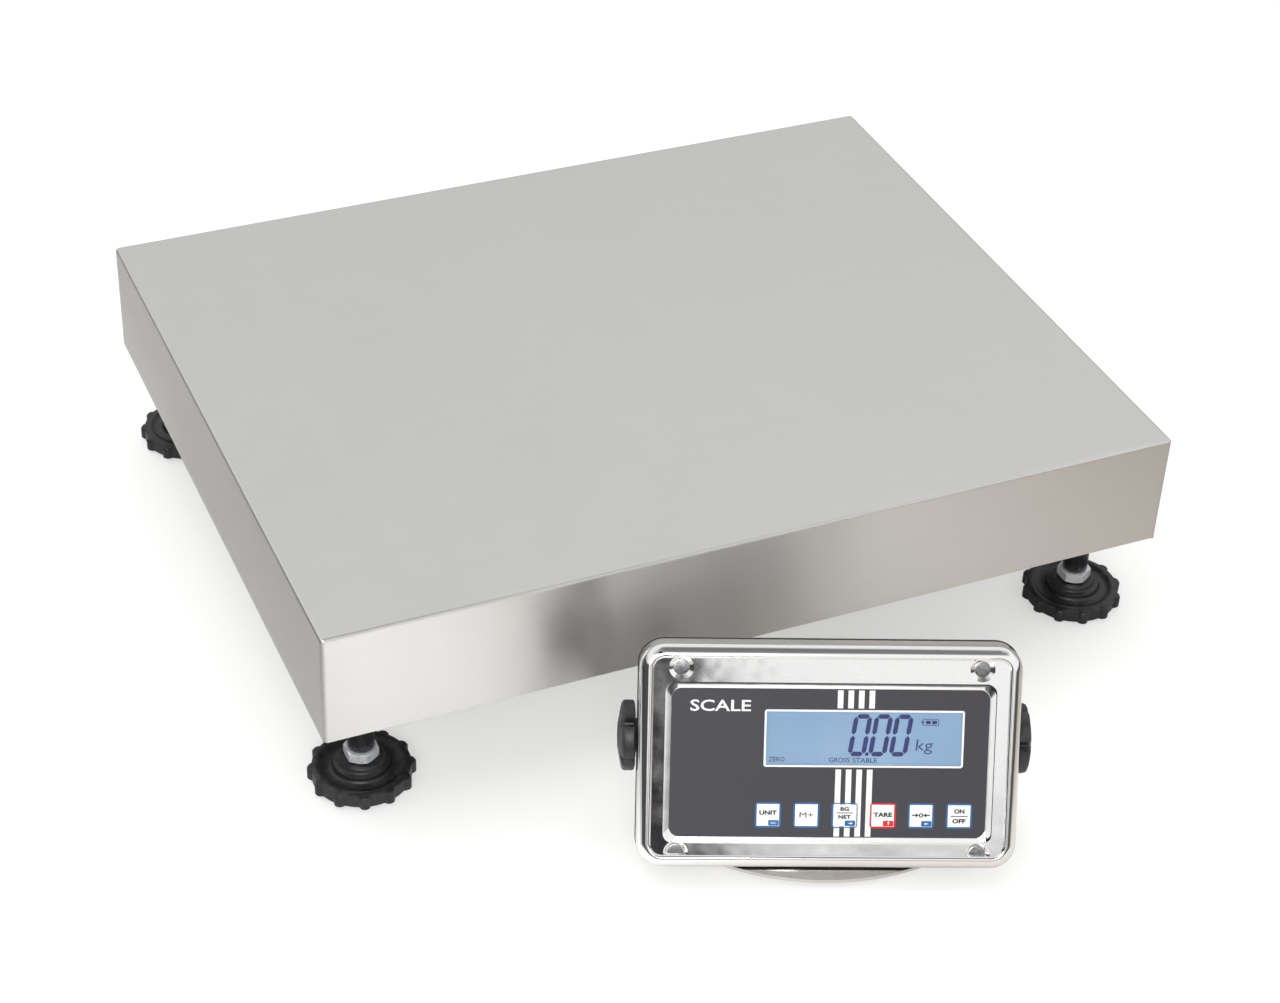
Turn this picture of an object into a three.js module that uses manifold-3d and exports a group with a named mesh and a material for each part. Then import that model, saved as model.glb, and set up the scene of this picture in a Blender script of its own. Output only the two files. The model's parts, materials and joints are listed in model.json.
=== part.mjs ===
// A stainless platform scale for weighing animals, with its separate display unit.
// The platform is a lid-like weighing pan on a sprung carrier frame, a single-point load
// cell and a base frame with four screw feet. The display unit is a two-shell housing that
// tilts in a U-shaped stand. Millimetres, +Z up, front towards -Y.
import * as THREE from 'three';
import { mergeVertices } from 'three/addons/utils/BufferGeometryUtils.js';
import Module from 'manifold-3d';

const wasm = await Module();
wasm.setup();

// ---- driving dimensions: platform -------------------------------------------------------
const GAP = 0.3;                      // clearance between pieces that sit on each other
const PAN_WIDTH = 500;
const PAN_DEPTH = 400;
const PAN_SKIRT = 68.4;               // height of the folded sides
const PAN_SHEET = 1.5;
const PAN_CORNER = 2.5;               // radius of the upright corner edges
const PAN_EDGE = 2;                   // radius of the top edges
const PAN_TOP = 126.4;                // weighing surface above the floor

const FOOT_INSET_X = 29.6;            // foot axis from the pan's side
const FOOT_INSET_Y = 31.4;            // foot axis from the pan's front or back
const RAIL_WIDTH = 30;
const RAIL_HEIGHT = 28;
const RAIL_OVERHANG = 20;             // rail past the foot axis, at each end
const TUBE_WALL = 2.5;

const STUD_RADIUS = 5;
const STUD_LENGTH = 48;
const THREAD_GAP = 0.3;               // radial room round the screw
const WHEEL_RADIUS = 27;
const WHEEL_BOTTOM = 1;
const WHEEL_RIM_TOP = 10;
const LOBE_COUNT = 12;
const LOBE_RADIUS = 3;
const HUB_STEP_RADIUS = 15;
const HUB_STEP_TOP = 12;
const HUB_RADIUS = 12.4;
const HUB_TOP = 15.4;
const PAD_RADIUS = 20;
const PAD_THICKNESS = 3.6;
const NUT_BOTTOM = 16;
const NUT_HEIGHT = 6;
const NUT_FLATS = 17;                 // width across flats
const BOSS_RADIUS = 7.3;

const BEAM_WIDTH = 60;
const BEAM_HEIGHT = 24;
const CELL_LENGTH = 130;
const CELL_WIDTH = 40;
const CELL_HEIGHT = 22;
const LOWER_SPACER = 3;
const UPPER_SPACER = 2;
const SPACER_LENGTH = 42;
const CELL_HOLE_END = 10;             // outer bolt from the end of the load cell
const CELL_HOLE_PITCH = 20;
const FLEXURE_RADIUS = 8;
const FLEXURE_PITCH = 22;
const BOLT_RADIUS = 4;
const BOLT_HEAD_RADIUS = 6.5;
const BOLT_HEAD_HEIGHT = 5;
const BOLT_GRIP = 12;                 // length of bolt inside the load cell
const SPRING_TRAVEL = 0.4;            // free height that the load cell's bending needs
const CARRIER_PLATE = 10;
const ARM_WIDTH = 30;
const ARM_HEIGHT = 30;
const ARM_OFFSET = 130;               // carrier arm from the middle
const ARM_LENGTH = 330;
const BUFFER_RADIUS = 11;
const BUFFER_HEIGHT = 2;
const BUFFER_INSET = 15;              // buffer centre from the arm's end
const LEVEL_RADIUS = 9;
const LEVEL_HEIGHT = 6;
const LEVEL_PLACE = -110;             // level along the rail
const GLAND_PLACE = -85;              // cable gland along the cross beam
const GLAND_THREAD = 6;
const GLAND_BORE = 2.6;
const GLAND_HEXAGON = 4;              // thickness of the gland's hexagon
const PLATFORM_GLAND_RADIUS = 9;
const PLATFORM_GLAND_LENGTH = 20;

// ---- driving dimensions: display unit ---------------------------------------------------
const STAND_YAW = -21.6;              // degrees that the unit is turned about the upright
const STAND_X = -5.6;
const STAND_Y = -286;
const TABLE_CLEARANCE = 12.05;        // housing's lowest edge above the table
const LOW_EDGE_DEPTH = 5;             // that edge behind the face plane
const HEAD_TILT = 26.8;               // degrees that the face leans back
const FACE_TO_PIVOT = 29;             // face plane in front of the tilt axis
const PIVOT_ABOVE_FACE = 6.9;         // tilt axis above the middle of the overlay
const HEAD_WIDTH = 196.5;
const HEAD_HEIGHT = 118;
const HEAD_RISE = 3;                  // middle of the housing above the overlay's middle
const HEAD_CORNER = 13;
const HEAD_SHEET = 1.5;
const FRONT_DEPTH = 14;
const BEAD_WIDTH = 7.2;               // rounded border round the flat land
const BEAD_RISE = 1.2;
const OVERLAY_WIDTH = 163;
const OVERLAY_HEIGHT = 78.2;
const OVERLAY_CORNER = 5;
const OVERLAY_SHEET = 1;
const OVERLAY_LEDGE = 3;
const DIMPLE_RADIUS = 6.3;
const DIMPLE_INSET_X = 20.5;
const DIMPLE_INSET_TOP = 12;          // upper dimples from the outline
const DIMPLE_INSET_BOTTOM = 8.3;      // lower ones, cut off by the border
const DIMPLE_DEPTH = 1.2;
const GASKET_THICKNESS = 1.4;
const GASKET_WIDTH = 6;
const CUP_INSET = 7;
const CUP_DRAFT = 7;
const CUP_DEPTH = 25;
const WINDOW_WIDTH = 102.6;
const WINDOW_HEIGHT = 30.2;
const WINDOW_X = 17.4;
const WINDOW_Y = 13.2;
const KEY_SIZE = 12;
const KEY_PITCH = 19.74;
const KEY_X = -30.9;                  // first key
const KEY_Y = -27.4;
const KEY_NAMES = ['unit', 'memory', 'net', 'tare', 'zero', 'power'];

const ARM_SHEET = 2;
const ARM_FACE = 96.4;                // outer face of a stand arm from the middle
const ARM_TOP_RADIUS = 11;
const BEND_RADIUS = 4;
const BASE_REAR = 34;                 // stand base behind the pivot
const BASE_FRONT = 52.5;
const BASE_ARC = 120;                 // radius of the rounded front edge
const STAND_FOOT_HEIGHT = 2.5;
const STAND_FOOT_RADIUS = 6;
const KNOB_RADIUS = 18.6;
const KNOB_NOTCH = 4.1;               // depth of the notches between the lobes
const KNOB_LOBES = 5;
const KNOB_FACE = 98.8;               // inner face of the knob's lobes
const KNOB_THICKNESS = 7;
const KNOB_DOME = 2.2;
const KNOB_SCREW = 3;
const PIVOT_BOSS = 9;
const INLET_RADIUS = 8;
const INLET_LENGTH = 18;
const INLET_SPREAD = 30;
const INLET_Y = -14;

// ---- helpers ----------------------------------------------------------------------------
function solid(geometry) {
  const bare = geometry.clone();
  bare.deleteAttribute('normal');
  bare.deleteAttribute('uv');
  const merged = mergeVertices(bare);
  return new wasm.Manifold(new wasm.Mesh({
    numProp: 3,
    vertProperties: new Float32Array(merged.attributes.position.array),
    triVerts: new Uint32Array(merged.index.array),
  }));
}

function geometryOf(body) {
  const mesh = body.getMesh();
  const geometry = new THREE.BufferGeometry();
  geometry.setAttribute('position', new THREE.BufferAttribute(mesh.vertProperties, 3));
  geometry.setIndex(new THREE.BufferAttribute(mesh.triVerts, 1));
  geometry.computeVertexNormals();
  return geometry;
}

// A box from its lowest to its highest corner.
function block(low, high) {
  const size = high.map((value, axis) => value - low[axis]);
  const geometry = new THREE.BoxGeometry(...size);
  geometry.translate(...low.map((value, axis) => value + size[axis] / 2));
  return solid(geometry);
}

// An upright cylinder on the point (x, y, z).
function rod(radius, length, [x, y, z], sides = 16) {
  const geometry = new THREE.CylinderGeometry(radius, radius, length, sides);
  geometry.rotateX(Math.PI / 2);
  geometry.translate(x, y, z + length / 2);
  return solid(geometry);
}

// A profile of [radius, height] points turned about the upright axis.
function turned(points, sides = 20) {
  const profile = points.map(([radius, height]) => new THREE.Vector2(radius, height));
  const geometry = new THREE.LatheGeometry(profile, sides);
  geometry.rotateX(Math.PI / 2);
  return solid(geometry);
}

// A flat outline made thick along Z.
function prism(shape, depth, curveSegments = 6) {
  return solid(new THREE.ExtrudeGeometry(shape, { depth, bevelEnabled: false, curveSegments }));
}

// One ring of points round a rectangle with round corners.
function ring(width, height, corner, z, rise = 0, steps = 4) {
  const points = [];
  const corners = [[1, 1], [-1, 1], [-1, -1], [1, -1]];
  corners.forEach(([sx, sy], quarter) => {
    for (let step = 0; step <= steps; step += 1) {
      const angle = (quarter + step / steps) * Math.PI / 2;
      points.push(new THREE.Vector3(
        sx * (width / 2 - corner) + corner * Math.cos(angle),
        sy * (height / 2 - corner) + corner * Math.sin(angle) + rise,
        z,
      ));
    }
  });
  return points;
}

// A closed solid through rings that rise along Z, with a flat face at each end.
function loft(rings) {
  const count = rings[0].length;
  const positions = rings.flat().flatMap((point) => point.toArray());
  const index = [];
  for (let level = 0; level + 1 < rings.length; level += 1) {
    for (let here = 0; here < count; here += 1) {
      const next = (here + 1) % count;
      const low = level * count;
      const high = low + count;
      index.push(low + here, low + next, high + next, low + here, high + next, high + here);
    }
  }
  const top = (rings.length - 1) * count;
  for (let here = 1; here + 1 < count; here += 1) {
    index.push(0, here + 1, here, top, top + here, top + here + 1);
  }
  const geometry = new THREE.BufferGeometry();
  geometry.setAttribute('position', new THREE.Float32BufferAttribute(positions, 3));
  geometry.setIndex(index);
  return solid(geometry);
}

function roundedRectangle(width, height, corner) {
  const shape = new THREE.Shape();
  const x = width / 2 - corner;
  const y = height / 2 - corner;
  shape.absarc(x, y, corner, 0, Math.PI / 2);
  shape.absarc(-x, y, corner, Math.PI / 2, Math.PI);
  shape.absarc(-x, -y, corner, Math.PI, 1.5 * Math.PI);
  shape.absarc(x, -y, corner, 1.5 * Math.PI, 2 * Math.PI);
  return shape;
}

const finishes = {
  steel: { color: 0xc9c8c4, roughness: 0.35, metalness: 1 },
  polished: { color: 0xd8d8d6, roughness: 0.12, metalness: 1 },
  zinc: { color: 0xb9bcc0, roughness: 0.3, metalness: 1 },
  aluminium: { color: 0xb4b7ba, roughness: 0.4, metalness: 1 },
  blackPlastic: { color: 0x1f1f21, roughness: 0.5, metalness: 0 },
  rubber: { color: 0x17171a, roughness: 0.8, metalness: 0 },
  overlay: { color: 0x515156, roughness: 0.45, metalness: 0 },
  keyFace: { color: 0xf1f5f7, roughness: 0.4, metalness: 0 },
  clear: { color: 0xc9d8ea, roughness: 0.05, metalness: 0 },
  lcd: { color: 0x8fb2e2, roughness: 0.3, metalness: 0 },
  board: { color: 0x1d5a36, roughness: 0.5, metalness: 0 },
  battery: { color: 0x2a4f86, roughness: 0.5, metalness: 0 },
};

function part(name, body, finish) {
  const mesh = new THREE.Mesh(geometryOf(body), new THREE.MeshStandardMaterial(finishes[finish]));
  mesh.name = name;
  return mesh;
}

// ---- platform: levels that follow from the driving dimensions ---------------------------
const footX = PAN_WIDTH / 2 - FOOT_INSET_X;
const footY = PAN_DEPTH / 2 - FOOT_INSET_Y;
const carrierTop = PAN_TOP - PAN_SHEET - BUFFER_HEIGHT - 2 * GAP;
const plateBottom = carrierTop - CARRIER_PLATE;
const cellTop = plateBottom - GAP - UPPER_SPACER - SPRING_TRAVEL;
const cellBottom = cellTop - CELL_HEIGHT;
const beamTop = cellBottom - LOWER_SPACER - 2 * GAP;
const railBottom = beamTop - BEAM_HEIGHT;
const railTop = railBottom + RAIL_HEIGHT;
const boltPlaces = [CELL_LENGTH / 2 - CELL_HOLE_END, CELL_LENGTH / 2 - CELL_HOLE_END - CELL_HOLE_PITCH];
const boltHole = BOLT_RADIUS + GAP;
const cornersOfFour = [['front_left', -1, -1], ['front_right', 1, -1],
  ['rear_left', -1, 1], ['rear_right', 1, 1]];

function weighingPan() {
  const skirtBottom = PAN_TOP - PAN_SKIRT;
  const outer = [ring(PAN_WIDTH, PAN_DEPTH, PAN_CORNER, skirtBottom)];
  for (const turn of [0, 0.5, 1]) {
    const angle = turn * Math.PI / 2;
    const inset = PAN_EDGE * (1 - Math.cos(angle));
    const height = PAN_TOP - PAN_EDGE * (1 - Math.sin(angle));
    outer.push(ring(PAN_WIDTH - 2 * inset, PAN_DEPTH - 2 * inset, PAN_CORNER - inset, height));
  }
  const inner = [skirtBottom - 1, PAN_TOP - PAN_SHEET].map((height) => (
    ring(PAN_WIDTH - 2 * PAN_SHEET, PAN_DEPTH - 2 * PAN_SHEET, PAN_CORNER - PAN_SHEET, height)));
  return loft(outer).subtract(loft(inner));
}

// A square tube along Y, open at both ends.
function tubeAlongY(width, height, length, x, bottom) {
  const end = length / 2;
  const outside = block([x - width / 2, -end, bottom], [x + width / 2, end, bottom + height]);
  const inside = block(
    [x - width / 2 + TUBE_WALL, -end - 1, bottom + TUBE_WALL],
    [x + width / 2 - TUBE_WALL, end + 1, bottom + height - TUBE_WALL],
  );
  return outside.subtract(inside);
}

function baseRail(side) {
  const bossBottom = NUT_BOTTOM + NUT_HEIGHT + GAP;
  const bossLength = railBottom - bossBottom + TUBE_WALL / 2;
  let rail = tubeAlongY(RAIL_WIDTH, RAIL_HEIGHT, 2 * (footY + RAIL_OVERHANG), side * footX, railBottom);
  for (const end of [-1, 1]) {
    rail = rail.add(rod(BOSS_RADIUS, bossLength, [side * footX, end * footY, bossBottom]));
    const bore = rod(STUD_RADIUS + THREAD_GAP, bossLength + 2 * TUBE_WALL,
      [side * footX, end * footY, bossBottom - 1]);
    rail = rail.subtract(bore);
  }
  return rail;
}

function crossBeam() {
  const reach = footX - RAIL_WIDTH / 2 - GAP;
  const half = BEAM_WIDTH / 2;
  const outside = block([-reach, -half, railBottom], [reach, half, beamTop]);
  const inside = block(
    [-reach - 1, -half + TUBE_WALL, railBottom + TUBE_WALL],
    [reach + 1, half - TUBE_WALL, beamTop - TUBE_WALL],
  );
  let beam = outside.subtract(inside);
  for (const place of boltPlaces) {
    beam = beam.subtract(rod(boltHole, BEAM_HEIGHT, [-place, 0, railBottom + BEAM_HEIGHT / 2]));
    const access = BOLT_HEAD_RADIUS + 1;
    beam = beam.subtract(rod(access, BEAM_HEIGHT / 2, [-place, 0, railBottom - 1]));
  }
  const glandHole = solid(new THREE.CylinderGeometry(GLAND_THREAD + GAP, GLAND_THREAD + GAP, 10, 20)
    .translate(GLAND_PLACE, -half, railBottom + BEAM_HEIGHT / 2));
  return beam.subtract(glandHole);
}

// A spacer plate under or over one end of the load cell; side is -1 or 1.
function spacer(side, bottom, thickness) {
  const outer = CELL_LENGTH / 2;
  const ends = [side * outer, side * (outer - SPACER_LENGTH)].sort((a, b) => a - b);
  let plate = block([ends[0], -CELL_WIDTH / 2, bottom], [ends[1], CELL_WIDTH / 2, bottom + thickness]);
  for (const place of boltPlaces) {
    plate = plate.subtract(rod(boltHole, thickness + 2, [side * place, 0, bottom - 1], 12));
  }
  return plate;
}

// The load cell: a bar with two joined round holes across it, which let it bend.
function loadCell() {
  const half = CELL_LENGTH / 2;
  const middle = CELL_HEIGHT / 2;
  const outline = new THREE.Shape();
  outline.moveTo(-half, 0);
  outline.lineTo(half, 0);
  outline.lineTo(half, CELL_HEIGHT);
  outline.lineTo(-half, CELL_HEIGHT);
  const hollow = new THREE.Path();
  const slot = FLEXURE_RADIUS / 3;
  const open = Math.asin(slot / FLEXURE_RADIUS);
  const offset = FLEXURE_PITCH / 2;
  hollow.absarc(offset, middle, FLEXURE_RADIUS, Math.PI - open, -Math.PI + open, true);
  hollow.absarc(-offset, middle, FLEXURE_RADIUS, -open, -2 * Math.PI + open, true);
  outline.holes.push(hollow);
  const bar = new THREE.ExtrudeGeometry(outline, {
    depth: CELL_WIDTH, bevelEnabled: false, curveSegments: 8,
  });
  bar.rotateX(Math.PI / 2);
  bar.translate(0, CELL_WIDTH / 2, cellBottom);
  let cell = solid(bar);
  const depth = BOLT_GRIP + 2 * GAP;
  for (const place of boltPlaces) {
    cell = cell.subtract(rod(boltHole, depth + 1, [-place, 0, cellBottom - 1], 12));
    cell = cell.subtract(rod(boltHole, depth + 1, [place, 0, cellTop - depth], 12));
  }
  return cell;
}

// A cap screw with its head at the bottom, standing on z = 0.
function capScrew(length) {
  const socket = solid(new THREE.CylinderGeometry(3.2, 3.2, 3, 6).rotateX(Math.PI / 2));
  return turned([
    [0, 0], [BOLT_HEAD_RADIUS, 0], [BOLT_HEAD_RADIUS, BOLT_HEAD_HEIGHT],
    [BOLT_RADIUS, BOLT_HEAD_HEIGHT], [BOLT_RADIUS, BOLT_HEAD_HEIGHT + length],
    [0, BOLT_HEAD_HEIGHT + length],
  ], 16).subtract(socket);
}

function carrierBeam() {
  const reach = ARM_OFFSET - ARM_WIDTH / 2 - GAP;
  let plate = block([-reach, -BEAM_WIDTH / 2, plateBottom], [reach, BEAM_WIDTH / 2, carrierTop]);
  for (const place of boltPlaces) {
    plate = plate.subtract(rod(boltHole, CARRIER_PLATE + 2, [place, 0, plateBottom - 1], 12));
    const sink = BOLT_HEAD_HEIGHT + 2 * GAP;
    plate = plate.subtract(rod(BOLT_HEAD_RADIUS + GAP, sink + 1, [place, 0, carrierTop - sink], 12));
  }
  return plate;
}

// Cable gland: thread, hexagon and dome nut round a through hole, pointing along +Z.
function gland(radius, length) {
  const inside = 4;
  const hexagon = solid(new THREE.CylinderGeometry(radius, radius, GLAND_HEXAGON, 6)
    .rotateX(Math.PI / 2)).translate([0, 0, GLAND_HEXAGON / 2 + GAP]);
  const body = turned([
    [0, -inside], [GLAND_THREAD, -inside], [GLAND_THREAD, GAP], [radius - 1.2, GAP + 1],
    [radius - 1.2, length * 0.7], [radius - 3.4, length], [0, length],
  ], 16);
  return body.add(hexagon).subtract(rod(GLAND_BORE, length + 3 * inside, [0, 0, -2 * inside], 12));
}

function levelHousing() {
  return turned([
    [0, 0], [LEVEL_RADIUS, 0], [LEVEL_RADIUS, LEVEL_HEIGHT - 1], [LEVEL_RADIUS - 1, LEVEL_HEIGHT],
    [LEVEL_RADIUS - 2, LEVEL_HEIGHT], [LEVEL_RADIUS - 2, 2], [0, 2],
  ]);
}

function levelGlass() {
  const radius = LEVEL_RADIUS - 2 - GAP;
  return turned([
    [0, 2 + GAP], [radius, 2 + GAP], [radius, LEVEL_HEIGHT - 0.6], [radius * 0.7, LEVEL_HEIGHT],
    [0, LEVEL_HEIGHT + 0.2],
  ]);
}

// ---- levelling foot, built on its own axis ----------------------------------------------
const wheelCeiling = PAD_THICKNESS + GAP;

function footPad() {
  return turned([
    [0, 0], [PAD_RADIUS - 1.5, 0], [PAD_RADIUS, 1.2], [PAD_RADIUS, PAD_THICKNESS],
    [0, PAD_THICKNESS],
  ]);
}

function footWheel() {
  const bore = STUD_RADIUS + THREAD_GAP;
  const recess = PAD_RADIUS + 2 * GAP;
  const groove = WHEEL_RIM_TOP - 1.6;
  let wheel = turned([
    [bore, wheelCeiling], [recess, wheelCeiling], [recess, WHEEL_BOTTOM],
    [WHEEL_RADIUS, WHEEL_BOTTOM], [WHEEL_RADIUS, WHEEL_RIM_TOP - 1],
    [WHEEL_RADIUS - 1, WHEEL_RIM_TOP], [WHEEL_RADIUS - 4.5, WHEEL_RIM_TOP],
    [WHEEL_RADIUS - 5.5, groove], [HUB_STEP_RADIUS + 1, groove], [HUB_STEP_RADIUS, HUB_STEP_TOP],
    [HUB_RADIUS, HUB_STEP_TOP + 0.4], [HUB_RADIUS - 0.6, HUB_TOP], [bore, HUB_TOP],
    [bore, wheelCeiling],
  ]);
  for (let lobe = 0; lobe < LOBE_COUNT; lobe += 1) {
    const angle = (lobe + 0.5) / LOBE_COUNT * 2 * Math.PI;
    const reach = WHEEL_RADIUS - 1;
    wheel = wheel.add(rod(LOBE_RADIUS, WHEEL_RIM_TOP - WHEEL_BOTTOM - 0.5,
      [reach * Math.cos(angle), reach * Math.sin(angle), WHEEL_BOTTOM], 8));
  }
  return wheel;
}

function footStud() {
  return turned([
    [0, wheelCeiling + GAP], [STUD_RADIUS, wheelCeiling + GAP],
    [STUD_RADIUS, STUD_LENGTH], [STUD_RADIUS - 1, STUD_LENGTH + 1], [0, STUD_LENGTH + 1],
  ], 16);
}

function lockNut() {
  const across = NUT_FLATS / Math.sqrt(3);
  const hexagon = solid(new THREE.CylinderGeometry(across, across, NUT_HEIGHT, 6).rotateX(Math.PI / 2));
  const bore = rod(STUD_RADIUS + THREAD_GAP, NUT_HEIGHT + 2, [0, 0, -NUT_HEIGHT / 2 - 1]);
  return hexagon.subtract(bore).translate([0, 0, NUT_BOTTOM + NUT_HEIGHT / 2]);
}

function levellingFoot(corner, sideX, sideY) {
  const foot = new THREE.Group();
  foot.add(part(`foot_pad_${corner}`, footPad(), 'rubber'));
  foot.add(part(`foot_wheel_${corner}`, footWheel(), 'blackPlastic'));
  foot.add(part(`foot_stud_${corner}`, footStud(), 'zinc'));
  foot.add(part(`lock_nut_${corner}`, lockNut(), 'zinc'));
  foot.position.set(sideX * footX, sideY * footY, 0);
  return foot;
}

// ---- display unit: levels along the housing's own depth, face plane at z = 0 ------------
const landLevel = -0.2;
const beadTop = landLevel + BEAD_RISE;
const frontBack = -FRONT_DEPTH;
const gasketBack = frontBack - GAP - GASKET_THICKNESS;
const flangeFront = gasketBack - GAP;
const flangeBack = flangeFront - HEAD_SHEET;
const cupBack = flangeBack - CUP_DEPTH;
const ledgeLevel = landLevel - OVERLAY_SHEET - GAP;
const wallBack = ledgeLevel - HEAD_SHEET;
const tilt = THREE.MathUtils.degToRad(HEAD_TILT);
const pivotHeight = TABLE_CLEARANCE
  + (HEAD_HEIGHT / 2 - HEAD_RISE + PIVOT_ABOVE_FACE) * Math.cos(tilt)
  - (FACE_TO_PIVOT - LOW_EDGE_DEPTH) * Math.sin(tilt);

function headRing(inset, z) {
  const corner = Math.max(HEAD_CORNER - inset, 2);
  return ring(HEAD_WIDTH - 2 * inset, HEAD_HEIGHT - 2 * inset, corner, z, HEAD_RISE);
}

function frontShell() {
  const bead = [[0, frontBack], [0, -6], [0.8, -3], [2.6, -0.8], [5, beadTop]];
  const rings = bead.map(([inset, z]) => headRing(inset, z));
  const hollow = loft([headRing(HEAD_SHEET, frontBack - 1), headRing(HEAD_SHEET, -6),
    headRing(HEAD_SHEET + 3, wallBack)]);
  const land = loft([headRing(BEAD_WIDTH, landLevel), headRing(BEAD_WIDTH - BEAD_RISE, beadTop + 1)]);
  const pocket = prism(roundedRectangle(OVERLAY_WIDTH + 2 * GAP, OVERLAY_HEIGHT + 2 * GAP,
    OVERLAY_CORNER + GAP), 5).translate([0, 0, ledgeLevel]);
  const ledgeCut = 2 * OVERLAY_LEDGE;
  const window = prism(roundedRectangle(OVERLAY_WIDTH - ledgeCut, OVERLAY_HEIGHT - ledgeCut,
    OVERLAY_CORNER), 20).translate([0, 0, -10]);
  let shell = loft(rings).subtract(hollow).subtract(land).subtract(pocket).subtract(window);
  const top = HEAD_RISE + HEAD_HEIGHT / 2 - DIMPLE_INSET_TOP;
  const bottom = HEAD_RISE - HEAD_HEIGHT / 2 + DIMPLE_INSET_BOTTOM;
  const insideBead = loft([headRing(BEAD_WIDTH, landLevel - DIMPLE_DEPTH), headRing(BEAD_WIDTH, beadTop)]);
  for (const side of [-1, 1]) {
    const x = side * (HEAD_WIDTH / 2 - DIMPLE_INSET_X);
    for (const y of [top, bottom]) {
      shell = shell.subtract(rod(DIMPLE_RADIUS, 4, [x, y, landLevel - DIMPLE_DEPTH]).intersect(insideBead));
    }
  }
  return shell;
}

function housingGasket() {
  return loft([headRing(-0.4, gasketBack), headRing(-0.4, gasketBack + GASKET_THICKNESS)])
    .subtract(loft([headRing(GASKET_WIDTH, gasketBack - 1), headRing(GASKET_WIDTH, frontBack)]));
}

function rearShell() {
  const flange = loft([headRing(0, flangeBack), headRing(0, flangeFront)]);
  const taper = (inset) => [
    headRing(CUP_INSET + CUP_DRAFT + 5 + inset, cupBack + inset),
    headRing(CUP_INSET + CUP_DRAFT + inset, cupBack + 4 + inset / 2),
    headRing(CUP_INSET + inset, flangeBack + 0.5),
  ];
  const mouth = loft([headRing(CUP_INSET + HEAD_SHEET, flangeBack), headRing(CUP_INSET + HEAD_SHEET, 5)]);
  let shell = flange.add(loft(taper(0)));
  const bossReach = ARM_FACE - ARM_SHEET - GAP;
  for (const side of [-1, 1]) {
    const boss = new THREE.CylinderGeometry(PIVOT_BOSS, PIVOT_BOSS, 20, 16).rotateZ(Math.PI / 2)
      .translate(side * (bossReach - 10), PIVOT_ABOVE_FACE, -FACE_TO_PIVOT);
    shell = shell.add(solid(boss));
  }
  shell = shell.subtract(loft(taper(HEAD_SHEET))).subtract(mouth);
  for (const side of [-1, 1]) {
    const screwHole = new THREE.CylinderGeometry(KNOB_SCREW + GAP, KNOB_SCREW + GAP, 40, 12)
      .rotateZ(Math.PI / 2).translate(side * bossReach, PIVOT_ABOVE_FACE, -FACE_TO_PIVOT);
    shell = shell.subtract(solid(screwHole));
    const inlet = rod(GLAND_THREAD + GAP, 20, [side * INLET_SPREAD, INLET_Y, cupBack - 10], 20);
    shell = shell.subtract(inlet);
  }
  return shell;
}

function keypadOverlay() {
  let sheet = prism(roundedRectangle(OVERLAY_WIDTH, OVERLAY_HEIGHT, OVERLAY_CORNER), OVERLAY_SHEET)
    .translate([0, 0, landLevel - OVERLAY_SHEET]);
  const window = prism(roundedRectangle(WINDOW_WIDTH + 2 * GAP, WINDOW_HEIGHT + 2 * GAP, 1.5), 6)
    .translate([WINDOW_X, WINDOW_Y, -3]);
  sheet = sheet.subtract(window);
  KEY_NAMES.forEach((name, place) => {
    const half = KEY_SIZE / 2 + GAP;
    const x = KEY_X + place * KEY_PITCH;
    sheet = sheet.subtract(block([x - half, KEY_Y - half, -4], [x + half, KEY_Y + half, 4]));
  });
  return sheet;
}

function keyCap(place) {
  const x = KEY_X + place * KEY_PITCH;
  return prism(roundedRectangle(KEY_SIZE, KEY_SIZE, 1), 1.4, 3).translate([x, KEY_Y, -1.5]);
}

// Star knob with its screw, pointing along +Z away from the housing, z = 0 at the middle.
function starKnob() {
  const outline = new THREE.Shape();
  const steps = KNOB_LOBES * 8;
  for (let step = 0; step < steps; step += 1) {
    const angle = step / steps * 2 * Math.PI;
    const radius = step % 8 === 4 ? KNOB_RADIUS - KNOB_NOTCH : KNOB_RADIUS;
    const place = [radius * Math.cos(angle), radius * Math.sin(angle)];
    if (step === 0) outline.moveTo(...place);
    else outline.lineTo(...place);
  }
  const screwEnd = ARM_FACE - ARM_SHEET - 8;
  const lobes = prism(outline, KNOB_THICKNESS).translate([0, 0, KNOB_FACE]);
  const core = turned([
    [0, screwEnd], [KNOB_SCREW, screwEnd], [KNOB_SCREW, ARM_FACE + GAP], [9, ARM_FACE + GAP],
    [9, KNOB_FACE + 1], [12, KNOB_FACE + 1], [12, KNOB_FACE + KNOB_THICKNESS],
    [7, KNOB_FACE + KNOB_THICKNESS + KNOB_DOME], [0, KNOB_FACE + KNOB_THICKNESS + KNOB_DOME],
  ]);
  return lobes.add(core);
}

// ---- stand, X along the tilt axis, Y backwards, z = 0 on the table ----------------------
function baseOutline() {
  const centre = BASE_FRONT - BASE_ARC;
  const reach = ARM_FACE - BEND_RADIUS;
  const open = Math.asin(reach / BASE_ARC);
  const outline = new THREE.Shape();
  outline.absarc(0, -centre, BASE_ARC, -Math.PI / 2 - open, -Math.PI / 2 + open, false);
  outline.lineTo(reach, BASE_REAR);
  outline.lineTo(-reach, BASE_REAR);
  return outline;
}

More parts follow.
